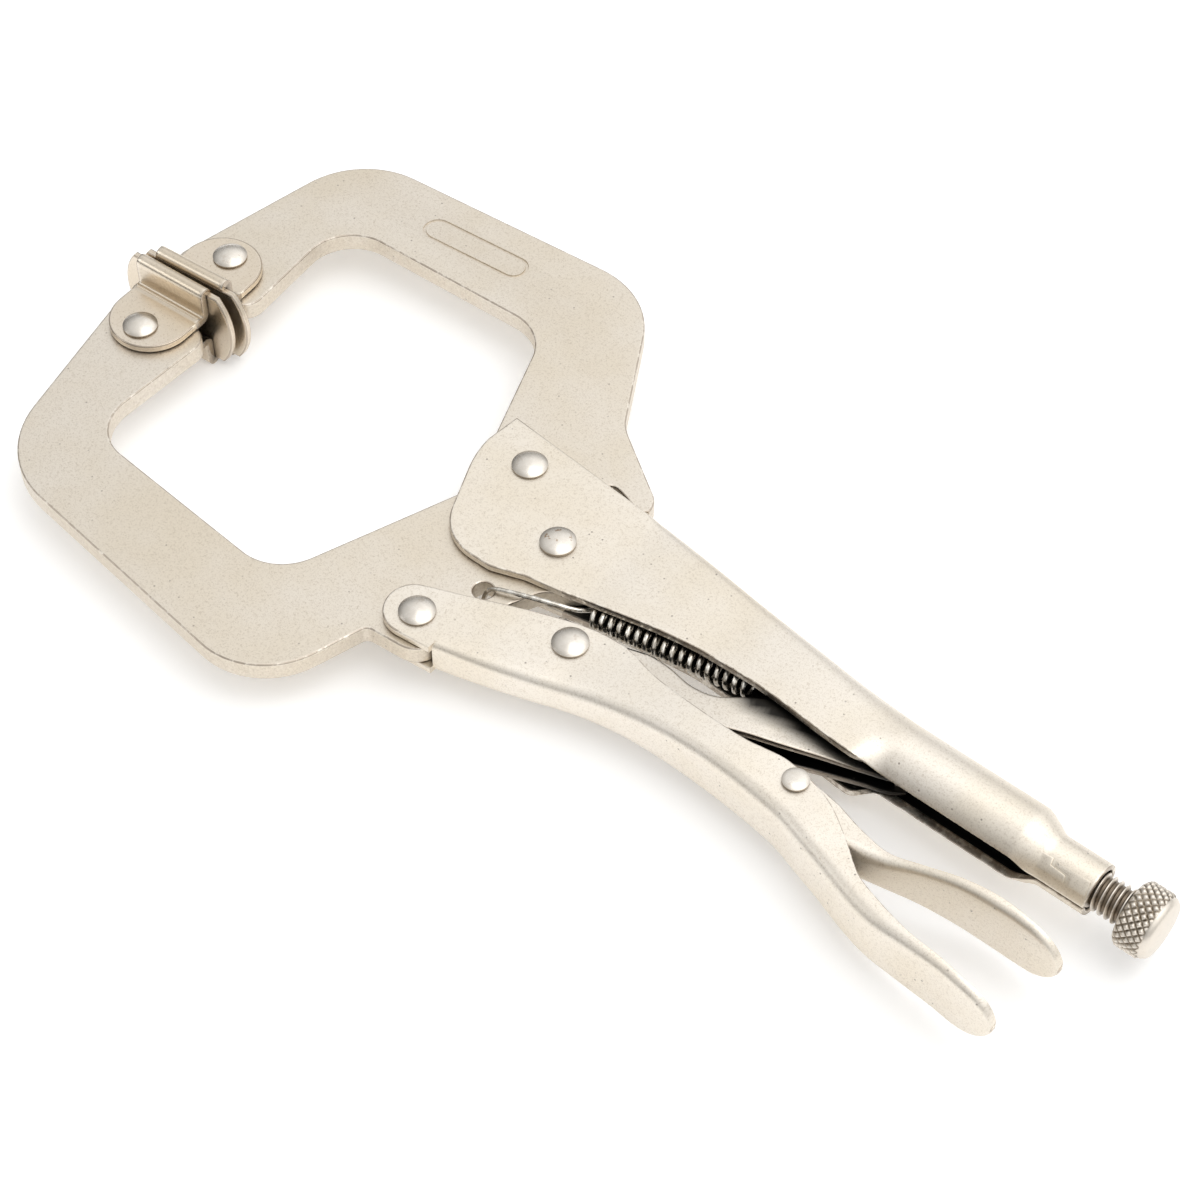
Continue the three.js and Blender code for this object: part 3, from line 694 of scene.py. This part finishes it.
def add_bar(bm, section, half_length):
    """A closed section of (y, z, inside, cut) points drawn along x, with rounded end edges. The
    worn rim fades out over a short band at each end."""
    rim, inside, cut = marks(bm)
    edge_round, wear_band = 0.25, 1.2
    before = set(bm.verts)
    verts, edges = new_loop(bm, [(-half_length, y, z) for y, z, _, _ in section])
    # On a pad these columns paint shade: inside on the inner faces, cut on the back wall.
    for vert, (_, _, hidden, painted_shade) in zip(verts, section):
        vert[inside], vert[cut] = hidden, painted_shade
    face = bmesh.ops.contextual_create(bm, geom=edges)["faces"][0]
    far = [g for g in bmesh.ops.extrude_face_region(bm, geom=[face], use_keep_orig=True)["geom"]
           if isinstance(g, bmesh.types.BMVert)]
    bmesh.ops.translate(bm, verts=far, vec=(2 * half_length, 0, 0))
    mine = [v for v in bm.verts if v not in before]
    faces = list({f for v in mine for f in v.link_faces})
    bmesh.ops.recalc_face_normals(bm, faces=faces)
    ends = [e for v in mine for e in v.link_edges if abs(e.verts[0].co.x - e.verts[1].co.x) < JOIN]
    made = bmesh.ops.bevel(bm, geom=list(set(ends)), offset=edge_round, offset_type="OFFSET", segments=2,
                           profile=0.5, affect="EDGES", clamp_overlap=True, material=-1)
    for vert in made["verts"]:
        vert[rim] = 1.0
    faces = {f for v in bm.verts if v not in before for f in v.link_faces}
    sides = [f for f in faces if abs(f.normal.x) < 0.1]
    for x in (-half_length + wear_band, half_length - wear_band):
        geom = list(set(sides) | {e for f in sides for e in f.edges} | {v for f in sides for v in f.verts})
        split = bmesh.ops.bisect_plane(bm, geom=geom, plane_co=(x, 0, 0), plane_no=(1, 0, 0))
        for g in split["geom_cut"]:
            if isinstance(g, bmesh.types.BMVert):
                g[rim] = 0.0
        sides = [g for g in split["geom"] if isinstance(g, bmesh.types.BMFace)]


def arc_points(middle, radius, start, end, steps):
    """Points (y, z) on an arc, with angles in degrees from +y towards +z."""
    angles = [math.radians(start + (end - start) * k / steps) for k in range(steps + 1)]
    return [(middle[0] + radius * math.cos(a), middle[1] + radius * math.sin(a)) for a in angles]


def hem_section(side):
    """The folded sheet of one side of a pad: round the hem, across the back and down to the ear,
    as (y, z, inside, cut) points. The cut column paints shade on the back wall, its bend and the
    coined line; the inside column paints shade on the sheet's inner faces."""
    inner = HEM_OUTER - PAD_SHEET
    hem = (PAD_FACE - HEM_OUTER, PAD_HALF - HEM_OUTER)
    back = PAD_FACE - 2 * HEM_OUTER
    bend = 0.5
    foot = (back - bend, CHEEK + bend)
    outer = [(*p, 0.0, 0.0) for p in arc_points(hem, HEM_OUTER, 0, 180, 12)]
    # Painted shade through the cut mark: full on the back wall, less on its bend and on the coined line.
    outer += [(back, PAD_HALF - HEM_OUTER - 0.8, 0.0, 1.0), (back, CHEEK + bend + 0.7, 0.0, 1.0)]
    outer += [(*p, 0.0, 0.4) for p in arc_points(foot, bend, 0, -90, 4)]
    coined = [(back - 1.1, CHEEK + 0.3), (back - 1.35, CHEEK + 0.02), (back - 1.6, CHEEK + 0.28),
              (back - 2.2, CHEEK)]
    ear = [(*p, 0.0, 0.3) for p in coined]
    ear += [(back - EAR_TOP, CHEEK, 0.0, 0.0), (back - EAR_TOP, CHEEK_INNER, 0.6, 0.0)]
    inside = arc_points((back - bend, CHEEK + bend), bend + SHEET, -90, 0, 6)
    inside += arc_points(hem, inner, 180, 0, 6)
    section = outer + ear + [(*p, 0.75, 0.0) for p in inside]
    return [(y, side * z, hidden, painted_shade) for y, z, hidden, painted_shade in section]


def make_pad(name, node, tilt):
    """A swivel pad: a round face trimmed at two sides, where it is hemmed and folded to the ears."""
    bm = new_mesh()
    back = PAD_FACE - PAD_SHEET
    trim = PAD_HALF - HEM_OUTER
    reach = math.degrees(math.asin(trim / PAD_RADIUS))
    disc = [point for middle in (0, 180)
            for point in arc_points((0, 0), PAD_RADIUS, middle - reach, middle + reach, 24)]
    add_plate(bm, disc, [], back, PAD_FACE)
    bmesh.ops.rotate(bm, verts=bm.verts, cent=(0, 0, 0), matrix=Matrix.Rotation(math.radians(-90), 3, "X"))
    for side in (1, -1):
        add_bar(bm, hem_section(side), EAR_HALF)
        low, high = sorted((side * CHEEK_INNER, side * CHEEK))
        top = PAD_FACE - 2 * HEM_OUTER - EAR_TOP
        corner, near_side, round_end = top - 1.2, EAR_HALF - 1.2, EAR_HALF - 0.05
        ear = rounded([
            (-near_side, top, 0), (-EAR_HALF, top, 0), (-EAR_HALF, corner, 0), (-EAR_HALF, -6, round_end),
            (EAR_HALF, -6, round_end), (EAR_HALF, corner, 0), (EAR_HALF, top, 0), (near_side, top, 0),
        ])
        add_plate(bm, ear, [circle(HOLE_RADIUS, (0, 0))], low, high, seam=lambda x, y: y > top - 0.01)
    finish_piece(name, bm, node, PAD_NICKEL, turn=tilt, pivot=spot(node + "_rivet"))


# ---- Upper handle --------------------------------------------------------------------------------

UPPER_CHEEK = [
    (-32.3, 22.2, 1.2), (-31.2, 8.5, 28), (-20.9, -14.4, 13), (-7.2, -14.2, 6), (0.5, -11.4, 10),
    (CHEEK_SEAM, -9.7, 0), (CHEEK_SEAM, -8.2, 0), (CHEEK_SEAM, 17.3, 0), (CHEEK_SEAM, 18.85, 0),
]
# Each channel's rows hold x, web, free edge, half width and bend.
UPPER_CHANNEL = [
    (CHEEK_SEAM, 19.0, -9.7, CHEEK, 0.5), (13.5, 19.1, -8.7, 4.45, 2.2), (20.6, 18.6, -7.2, 4.75, 3.1),
    (32.9, 16.9, -4.9, 5.2, 3.3), (43.2, 15.4, -3.8, 5.5, 3.5), (53.5, 14, -3.8, 6.1, 3.9),
    (63.7, 12.7, -4.5, 6.7, 4.5), (74, 11.8, -5.6, 7.1, 5.7), (82.2, 11.5, -6.1, 7.3, 6.6),
]


TAB_TURN = -42              # degrees from the top of the neck round to its crimped seam
TAB_SUNK, TAB_PROUD = 0.5, 0.22
SEAM_TABS = [
    [(124.4, 1.5), (127.4, 1.5), (127.4, -0.2), (131.2, -0.2), (131.2, -1.9), (124.4, -1.9)],
    [(128, 1.5), (136.2, 1.5), (136.2, -1.9), (131.8, -1.9), (131.8, 0.4), (128, 0.4)],
]


def add_seam_tabs(bm):
    """The two hooked tabs that lock the neck's seam, laid on the upper side of its curve with a
    dark line round each."""
    rim = marks(bm)[0]
    for outline in SEAM_TABS:
        before = set(bm.verts)
        corners = [(x, along, 0.25) for x, along in outline]
        add_plate(bm, rounded(corners, 30), [], -TAB_SUNK, TAB_PROUD, edge_round=0.12)
        for vert in set(bm.verts) - before:
            x, along, lift = vert.co
            vert[rim] = 1.0 if lift < 0.1 else vert[rim] * 0.4
            angle = math.radians(TAB_TURN) + along / NECK_RADIUS
            radius = NECK_RADIUS + lift
            vert.co = (x, NECK_AXIS + radius * math.sin(angle), radius * math.cos(angle))


def make_upper_handle():
    bm = new_mesh()
    channel = [(x, channel_ring(web, edge, half, bend, 1)) for x, web, edge, half, bend in UPPER_CHANNEL]
    body = tube_ring(TUBE_AXIS, 7.8, 8.3, 6.6)
    shoulder = tube_ring(3.0, 6.9, 7.1, 3.2, 1.45)
    neck = tube_ring(NECK_AXIS, NECK_RADIUS, NECK_RADIUS, 0.5, NECK_SHEET)
    tube = [
        (TUBE_ROUND, body), ((TUBE_START + TUBE_END) / 2, body), (TUBE_END - 1, body),
        ((TUBE_END + NECK_START) / 2, shoulder), (NECK_START + 0.6, neck), (NECK_END, neck),
    ]
    add_sheet(bm, through(channel + tube, tight=True), plain_start=True)
    add_seam_tabs(bm)
    for side in (1, -1):
        low, high = sorted((side * CHEEK_INNER, side * CHEEK))
        holes = [circle(HOLE_RADIUS, spot(node)) for node in ("upper_jaw_rivet", "jaw_pivot_rivet")]
        add_plate(bm, rounded(UPPER_CHEEK), holes, low, high, seam=lambda x, y: x > CHEEK_SEAM - 0.01)
    finish_piece("upper_handle_shell", bm, "upper_handle", HANDLE_NICKEL)


# ---- Lower handle, release lever and toggle link ---------------------------------------------------

LOWER_EAR = [
    (-18.1, -28.7, 6.2), (-18.1, -40.7, 7), (EAR_SEAM, -39, 0), (EAR_SEAM, -37.5, 0),
    (EAR_SEAM, -23.4, 0), (EAR_SEAM, -21.9, 0),
]
LOWER_CHANNEL = [
    (EAR_SEAM, -38, -21.9, CHEEK, 1.6), (8.2, -35.4, -17.5, CHEEK, 2.1), (19.5, -31.9, -13.6, CHEEK, 2.4),
    (24.5, -30.2, -12.7, CHEEK, 2.6), (28.8, -28.8, -12.6, 4.6, 2.8), (39.1, -26.4, -15, 5.3, 3.0),
    (51.4, -25.2, -16.3, 6.2, 2.8), (63.7, -25.4, -16.6, 6.8, 3.0), (74, -26.4, -15.4, 6.9, 3.1),
    (80.2, -27.4, -16.3, 6.9, 3.1), (86.4, -29.3, -18.4, 7, 3.1), (93.5, -31.5, -22.9, 7, 3.2),
    (100.7, -33.9, -28.3, 7.1, 3.1), (107.9, -35.7, -31, 7.3, 3.0), (116.2, -36, -33.1, 7.6, 2.4),
    (125.4, -36.3, -34.1, 7.7, 1.9),
]
LEVER_CHANNEL = [
    (61.7, -21.4, -16.6, 4.7, 2.1), (69.9, -23.5, -16, 4.7, 2.1), (78.1, -24.3, -15.3, 4.7, 2.1),
    (86.4, -24.7, -16.1, 4.7, 2.1), (94.6, -23.6, -18.3, 4.8, 2.1), (101.8, -22.1, -19.4, 5, 2.1),
    (109, -19.8, -18, 6, 1.7), (117.2, -18.2, -16.2, 7.2, 1.7), (126.4, -17.7, -15.4, 7.7, 1.7),
]
LINK_CHANNEL = [
    (12.3, -13.4, -24.7, 2.3, 0.8), (19.5, -12.3, -26.2, 2.3, 0.8), (26.7, -11.4, -25.2, 2.4, 0.8),
    (33.9, -9.3, -23.1, 2.5, 1), (39.1, -9.6, -21.6, 2.9, 1), (45.2, -10.6, -19.7, 3.4, 1.2),
    (51.4, -9.5, -17.8, 3.8, 1.2), (56.5, -5.7, -15.9, 4, 1.2), (61.7, -2.1, -13.8, 4, 1.2),
    (67.8, 1, -11.7, 3.8, 1.2), (77.1, 3.7, -8.2, 3.3, 1.2), (85.3, 4.7, -5.3, 2.8, 1),
    (91.5, 4.9, -2.9, 2.8, 1), (93.5, 4.3, -1.5, 2.6, 1),
]


def round_tip(last_x, length, web, edge, half, bend, drop):
    """Rows that close a spoon's end: the half width shrinks round a quarter of an ellipse."""
    rows = []
    for degrees in (25, 45, 60, 72, 81, 87):
        angle = math.radians(degrees)
        width, fall = half * math.cos(angle), drop * math.sin(angle)
        x = last_x + length * math.sin(angle)
        rows.append((x, web + fall, edge + fall, width, min(bend, width * 0.8)))
    return rows


def channel_stations(rows, side, wall):
    """A station for each row of x, web, free edge, half width and bend."""
    return [(x, channel_ring(web, edge, half, bend, side, wall)) for x, web, edge, half, bend in rows]


def light_inside(bm, dark_end, light_start):
    """Fades the inside mark from dark_end to light_start, where a grip lies open to the light."""
    inside = marks(bm)[1]
    for vert in bm.verts:
        share = (light_start - vert.co.x) / (light_start - dark_end)
        vert[inside] *= min(1.0, max(0.2, share))


def make_lower_handle():
    bm = new_mesh()
    tip = [(130.5, -36.9, -34.95, 7.5, 1.85)] + round_tip(130.5, 8.3, -37.0, -35.1, 7.5, 1.85, -0.15)
    add_sheet(bm, through(channel_stations(LOWER_CHANNEL + tip, -1, SHEET)), plain_start=True)
    light_inside(bm, 88, 112)
    for side in (1, -1):
        low, high = sorted((side * CHEEK_INNER, side * CHEEK))
        add_plate(bm, rounded(LOWER_EAR), [circle(HOLE_RADIUS, spot("handle_pivot_rivet"))], low, high,
                  seam=lambda x, y: x > EAR_SEAM - 0.01)
    finish_piece("lower_handle_shell", bm, "lower_handle", HANDLE_NICKEL)


def make_release_lever():
    bm = new_mesh()
    tip = [(132.0, -17.75, -15.9, 7.6, 1.7)] + round_tip(132.0, 9.2, -17.8, -16.1, 7.6, 1.7, -0.3)
    add_sheet(bm, through(channel_stations(LEVER_CHANNEL + tip, -1, LINK_SHEET)))
    light_inside(bm, 76, 92)
    finish_piece("release_lever_blade", bm, "release_lever", HANDLE_NICKEL)


def make_toggle_link():
    """The link, with painted shade from the inside mark over its middle, a painted shadow where the
    upper handle shades it, and a solid nose that meets the screw."""
    bm = new_mesh()
    add_sheet(bm, through(channel_stations(LINK_CHANNEL, 1, LINK_SHEET)))
    inside = marks(bm)[1]
    for vert in bm.verts:
        x, y, z = vert.co
        # rise: the upper handle's painted shadow, darker towards it past x = 52; hidden: painted shade over
        # the middle.
        rise = (y + 11 - 0.1 * (x - 55)) / 3.5 * min(1.0, (x - 52) / 6) if x > 52 else 0.0
        hidden = 1.0 if abs(z) < 2.4 and 14 < x < 60 else 0.0
        vert[inside] = max(vert[inside], hidden, min(1.0, rise))
    nose = rounded([(90, 4.4, 1), (94.6, 3.6, 1.5), (94.2, -0.6, 1.5), (90, -1.6, 0.5)])
    add_plate(bm, nose, [], -2.4, 2.4)
    finish_piece("toggle_link_bar", bm, "toggle_link", LINK_NICKEL)


# ---- Rivets ----------------------------------------------------------------------------------------


def make_rivet(node, pin, head, height, seat, material, side=0.3):
    """A rivet set through both cheeks: at each end a straight-sided head with a round crown.
    side is the share of the head's height that is straight."""
    bm = new_mesh()
    rim, _, crown = marks(bm)
    rise = height * (1 - side)
    ball = (head**2 + rise**2) / (2 * rise)
    reach, steps = math.asin(head / ball), 10
    # Rim marks paint shade: full at the foot and side, fading over the crown's edge.
    profile = [(pin, 0.0, 1), (head - 0.12, 0.0, 1), (head, 0.1, 1), (head, side * height - 0.04, 0.85)]
    for k in range(steps + 1):
        angle = reach * (1 - k / steps)
        shade = max(0.0, 0.55 - 0.2 * k)
        profile.append((ball * math.sin(angle), height - ball + ball * math.cos(angle), shade))
    half = [(r, seat + z, mark) for r, z, mark in profile]
    whole = [(r, -z, mark) for r, z, mark in reversed(half)] + half
    verts = [bm.verts.new((r, 0, z)) for r, z, _ in whole]
    for vert, (r, _, mark) in zip(verts, whole):
        vert[rim] = mark
        vert[crown] = 1.0 if r < 0.75 * head and not mark else 0.0
    edges = [bm.edges.new((verts[k], verts[k + 1])) for k in range(len(verts) - 1)]
    bmesh.ops.spin(bm, geom=verts + edges, cent=(0, 0, 0), axis=(0, 0, 1), angle=2 * math.pi,
                   steps=64, use_merge=True)
    bmesh.ops.remove_doubles(bm, verts=bm.verts, dist=TURNED_JOIN)
    finish_piece(node + "_set", bm, node, material, pivot=spot(node))


def make_rivets():
    size = (RIVET_PIN, RIVET_HEAD, RIVET_HEIGHT, CHEEK + 0.05)
    for place in ("upper_jaw", "handle_pivot", "toggle", "upper_pad", "lower_pad"):
        make_rivet(place + "_rivet", *size, RIVET_NICKEL)
    make_rivet("jaw_pivot_rivet", *size, STAINED_RIVET, side=0.45)
    small = (LEVER_RIVET_PIN, LEVER_RIVET_HEAD, LEVER_RIVET_HEIGHT, LEVER_RIVET_SEAT)
    make_rivet("release_lever_rivet", *small, RIVET_NICKEL, side=0.6)


# ---- Tension spring --------------------------------------------------------------------------------


def make_spring():
    """One wire: a hook in the lower jaw's hole, a straight leg, the coil and a hooked tail."""
    hole_x, hole_y = SPRING_HOLE
    run = COIL_END - COIL_START
    across = Vector((-run.y, run.x, 0)).normalized()
    path = [
        (hole_x - 0.4, hole_y - 0.4, -3.2), (hole_x, hole_y, 0), (hole_x + 0.7, hole_y + 0.7, 2.6),
        (hole_x + 2.6, hole_y + 1.4, 3.5), (4.5, -14.6, 3.4), (11.4, -11.9, 3.1), (14.2, -10.4, 2.4),
    ]
    per_turn = 20
    for k in range(COIL_TURNS * per_turn + 1):
        angle = 2 * math.pi * k / per_turn
        along = COIL_START + run * (k / (COIL_TURNS * per_turn))
        point = along + across * (COIL_RADIUS * math.cos(angle))
        path.append((point.x, point.y, COIL_RADIUS * math.sin(angle)))
    path += [(57.5, -0.5, 0), (61, 5, 0), (64.2, 6.6, 0), (67, 7.4, 0), (67.2, 9.2, 0)]
    curve = bpy.data.curves.new("spring_line", "CURVE")
    curve.dimensions = "3D"
    curve.bevel_depth, curve.bevel_resolution, curve.resolution_u = WIRE_RADIUS, 3, 2
    curve.use_fill_caps = True
    line = curve.splines.new("NURBS")
    line.points.add(len(path) - 1)
    for point, place in zip(line.points, path):
        point.co = (*place, 1)
    line.order_u, line.use_endpoint_u = 3, True
    holder = bpy.data.objects.new("spring_line", curve)
    bpy.context.scene.collection.objects.link(holder)
    bpy.context.view_layer.update()
    solid = bpy.data.meshes.new_from_object(holder.evaluated_get(bpy.context.evaluated_depsgraph_get()))
    bm = new_mesh()
    bm.from_mesh(solid)
    bpy.data.objects.remove(holder)
    bmesh.ops.remove_doubles(bm, verts=bm.verts, dist=JOIN)
    finish_piece("tension_spring_wire", bm, "tension_spring", SPRING_WIRE)


# ---- Adjusting screw and knob ----------------------------------------------------------------------


def make_screw():
    """A shaft with a rolled thread: a notched line carried once round while it moves on a pitch."""
    bm = new_mesh()
    rim = marks(bm)[0]
    depth, steps = 0.75, 48
    thread_form = ((0.0, 0), (0.16, 0), (0.44, 1), (0.58, 1), (0.86, 0))
    start, end = SCREW_TIP + 3, SCREW_SHOULDER
    turns = int((end - start) / THREAD_PITCH) + 2
    verts = []
    for k in range(turns):
        x = start - THREAD_PITCH + k * THREAD_PITCH
        for share, level in thread_form:
            radius = SCREW_RADIUS - depth * (1 - level)
            vert = bm.verts.new((x + share * THREAD_PITCH, NECK_AXIS + radius, 0))
            vert[rim] = float(level)
            verts.append(vert)
    edges = [bm.edges.new((verts[k], verts[k + 1])) for k in range(len(verts) - 1)]
    bmesh.ops.spin(bm, geom=verts + edges, cent=(0, NECK_AXIS, 0), axis=(1, 0, 0), angle=2 * math.pi,
                   dvec=(THREAD_PITCH / steps, 0, 0), steps=steps)
    bmesh.ops.remove_doubles(bm, verts=bm.verts, dist=TURNED_JOIN)
    for x, side in ((start, -1), (end, 1)):
        geom = list(bm.verts) + list(bm.edges) + list(bm.faces)
        bmesh.ops.bisect_plane(bm, geom=geom, plane_co=(x, 0, 0), plane_no=(side, 0, 0), clear_outer=True)
        bmesh.ops.remove_doubles(bm, verts=bm.verts, dist=TURNED_JOIN)
        ends = [e for e in bm.edges if e.is_boundary and all(abs(v.co.x - x) < TURNED_JOIN for v in e.verts)]
        bmesh.ops.contextual_create(bm, geom=ends)
    inset = 0.2
    tip = [(SCREW_TIP, 0), (SCREW_TIP, 1.6), (SCREW_TIP + 0.6, 2.2)]
    tip += [(start + inset, 3.4), (start + inset, 0)]
    add_turned(bm, tip, steps)
    spigot = KNOB_START + SPIGOT_LENGTH
    shank = [(end - inset, 0), (end - inset, SPIGOT_RADIUS), (spigot, SPIGOT_RADIUS), (spigot, 0)]
    add_turned(bm, shank, steps)
    finish_piece("adjusting_screw_thread", bm, "adjusting_screw", THREAD_STEEL, smooth=50)


def make_knob():
    """A knob with a coarse diamond knurl between rounded shoulders, and a smooth end face."""
    bm = new_mesh()
    rim = marks(bm)[0]
    low, high, rows, around = KNOB_START + 0.5, KNOB_END - 1.9, 30, 240
    base = KNOB_RADIUS - 0.55
    socket = KNOB_START + SOCKET_DEPTH
    profile = [(socket, 0), (socket, SOCKET_RADIUS), (KNOB_START + 0.2, SOCKET_RADIUS), (KNOB_START, 3.5)]
    profile += [(KNOB_START, base - 0.9), (KNOB_START + 0.12, base - 0.45)]
    profile += [(low + (high - low) * k / rows, base) for k in range(rows + 1)]
    profile += [
        (KNOB_END - 1.72, base + 0.05), (KNOB_END - 1.5, base + 0.05), (KNOB_END - 0.7, 6.3),
        (KNOB_END - 0.52, 6.05), (KNOB_END - 0.4, 5.6), (KNOB_END - 0.16, 4.2), (KNOB_END - 0.04, 2.2),
        (KNOB_END, 0),
    ]
    add_turned(bm, profile, around)
    diamonds, diamond_length, relief = 24, 1.95, 0.54
    for vert in bm.verts:
        x, y, z = vert.co.x, vert.co.y - NECK_AXIS, vert.co.z
        radius = math.hypot(y, z)
        if not (low - 0.01 < x < high + 0.01 and radius > base - 0.1):
            vert[rim] = 0.8 if x > high else 0.35
            continue
        around_share = math.atan2(z, y) / (2 * math.pi) * diamonds
        along = (x - low) / diamond_length
        first = abs((around_share + along) % 1 - 0.5) * 2
        second = abs((around_share - along) % 1 - 0.5) * 2
        peak = min(1.0, 1.6 * min(first, second))
        fade = min(1.0, (x - low) / 0.5, (high - x) / 0.35)
        lift = relief * peak * max(fade, 0.0)
        vert[rim] = peak
        scale = (radius + lift) / radius
        vert.co.y, vert.co.z = NECK_AXIS + y * scale, z * scale
    finish_piece("adjusting_knob_head", bm, "adjusting_knob", KNURL_STEEL, smooth=60)


# ---- Stage, light and camera -----------------------------------------------------------------------

CAMERA_AZIMUTH, CAMERA_ELEVATION, CAMERA_DISTANCE = 40.0, 50.5, 0.60085
CAMERA_TARGET = (14.673, -3.53)


def link(name, data):
    holder = bpy.data.objects.new(name, data)
    bpy.context.scene.collection.objects.link(holder)
    return holder


def aim(holder, azimuth, elevation, distance, target):
    """Sets a light or camera that far from the target, in that direction, looking at it."""
    a, e = math.radians(azimuth), math.radians(elevation)
    back = Vector((math.sin(a) * math.cos(e), -math.cos(a) * math.cos(e), math.sin(e)))
    holder.location = target + back * distance
    holder.rotation_mode = "QUATERNION"
    holder.rotation_quaternion = (-back).to_track_quat("-Z", "Y")


def make_stage():
    """A plain pale floor under the tool."""
    bm = bmesh.new()
    bmesh.ops.create_grid(bm, x_segments=1, y_segments=1, size=3)
    mesh = bpy.data.meshes.new("floor")
    bm.to_mesh(mesh)
    bm.free()
    material, graph, shader, where = new_material("pale_floor")
    tone = graph.mix(graph.noise(where, 3.0), (0.93, 0.93, 0.93, 1), (0.95, 0.95, 0.95, 1))
    graph.join(tone, shader, "Base Color")
    shader.inputs["Roughness"].default_value = 0.9
    shader.inputs["Specular IOR Level"].default_value = 0.1
    shader.inputs["Emission Color"].default_value = (1, 1, 1, 1)
    shader.inputs["Emission Strength"].default_value = 0.2
    mesh.materials.append(material)
    link("floor", mesh)


def add_softbox(name, azimuth, elevation, distance, size, power):
    """A square softbox that looks at the tool from that direction."""
    light = bpy.data.lights.new(name, "AREA")
    light.shape, light.size, light.energy = "SQUARE", size, power
    aim(link(name, light), azimuth, elevation, distance, JAW_PIVOT)


def make_light():
    """A white room, bright overhead and towards the knob's side, with two soft panels."""
    world = bpy.data.worlds.new("studio")
    world.use_nodes = True
    graph = Graph(world.node_tree)
    direction = graph.node("ShaderNodeTexCoord").outputs["Generated"]
    height = graph.node("ShaderNodeSeparateXYZ", {"Vector": direction}).outputs["Z"]
    overhead = graph.math("ADD", 0.34, graph.math("MULTIPLY", graph.ramp(height, 0.0, 0.8), 0.77))
    knob_side = (0.766, 0.643, 0)
    side = graph.node("ShaderNodeVectorMath", {0: direction, 1: knob_side}, operation="DOT_PRODUCT")
    towards = graph.math("ADD", 1.0, graph.math("MULTIPLY", side.outputs["Value"], 0.6))
    background = world.node_tree.nodes["Background"]
    background.inputs["Color"].default_value = (1, 0.998, 0.992, 1)
    graph.join(graph.math("MULTIPLY", overhead, towards), background, "Strength")
    bpy.context.scene.world = world
    add_softbox("overhead", 120, 74, 1.2, 0.9, 2.6)
    add_softbox("near_left", -50, 30, 1.2, 0.5, 1.2)
    bpy.context.scene.view_settings.view_transform = "Standard"


def make_camera():
    lens = bpy.data.cameras.new("camera")
    lens.lens, lens.sensor_width = 85, 36
    lens.clip_start, lens.clip_end = 0.01, 20
    camera = link("camera", lens)
    target = JAW_PIVOT + Vector((CAMERA_TARGET[0] * MM, CAMERA_TARGET[1] * MM, 0))
    aim(camera, CAMERA_AZIMUTH, CAMERA_ELEVATION, CAMERA_DISTANCE, target)
    bpy.context.scene.camera = camera


make_camera()
make_stage()
make_light()
make_upper_jaw()
make_lower_jaw()
make_pad("upper_pad_folded", "upper_pad", UPPER_PAD_TILT)
make_pad("lower_pad_folded", "lower_pad", LOWER_PAD_TILT)
make_upper_handle()
make_lower_handle()
make_release_lever()
make_toggle_link()
make_rivets()
make_spring()
make_screw()
make_knob()
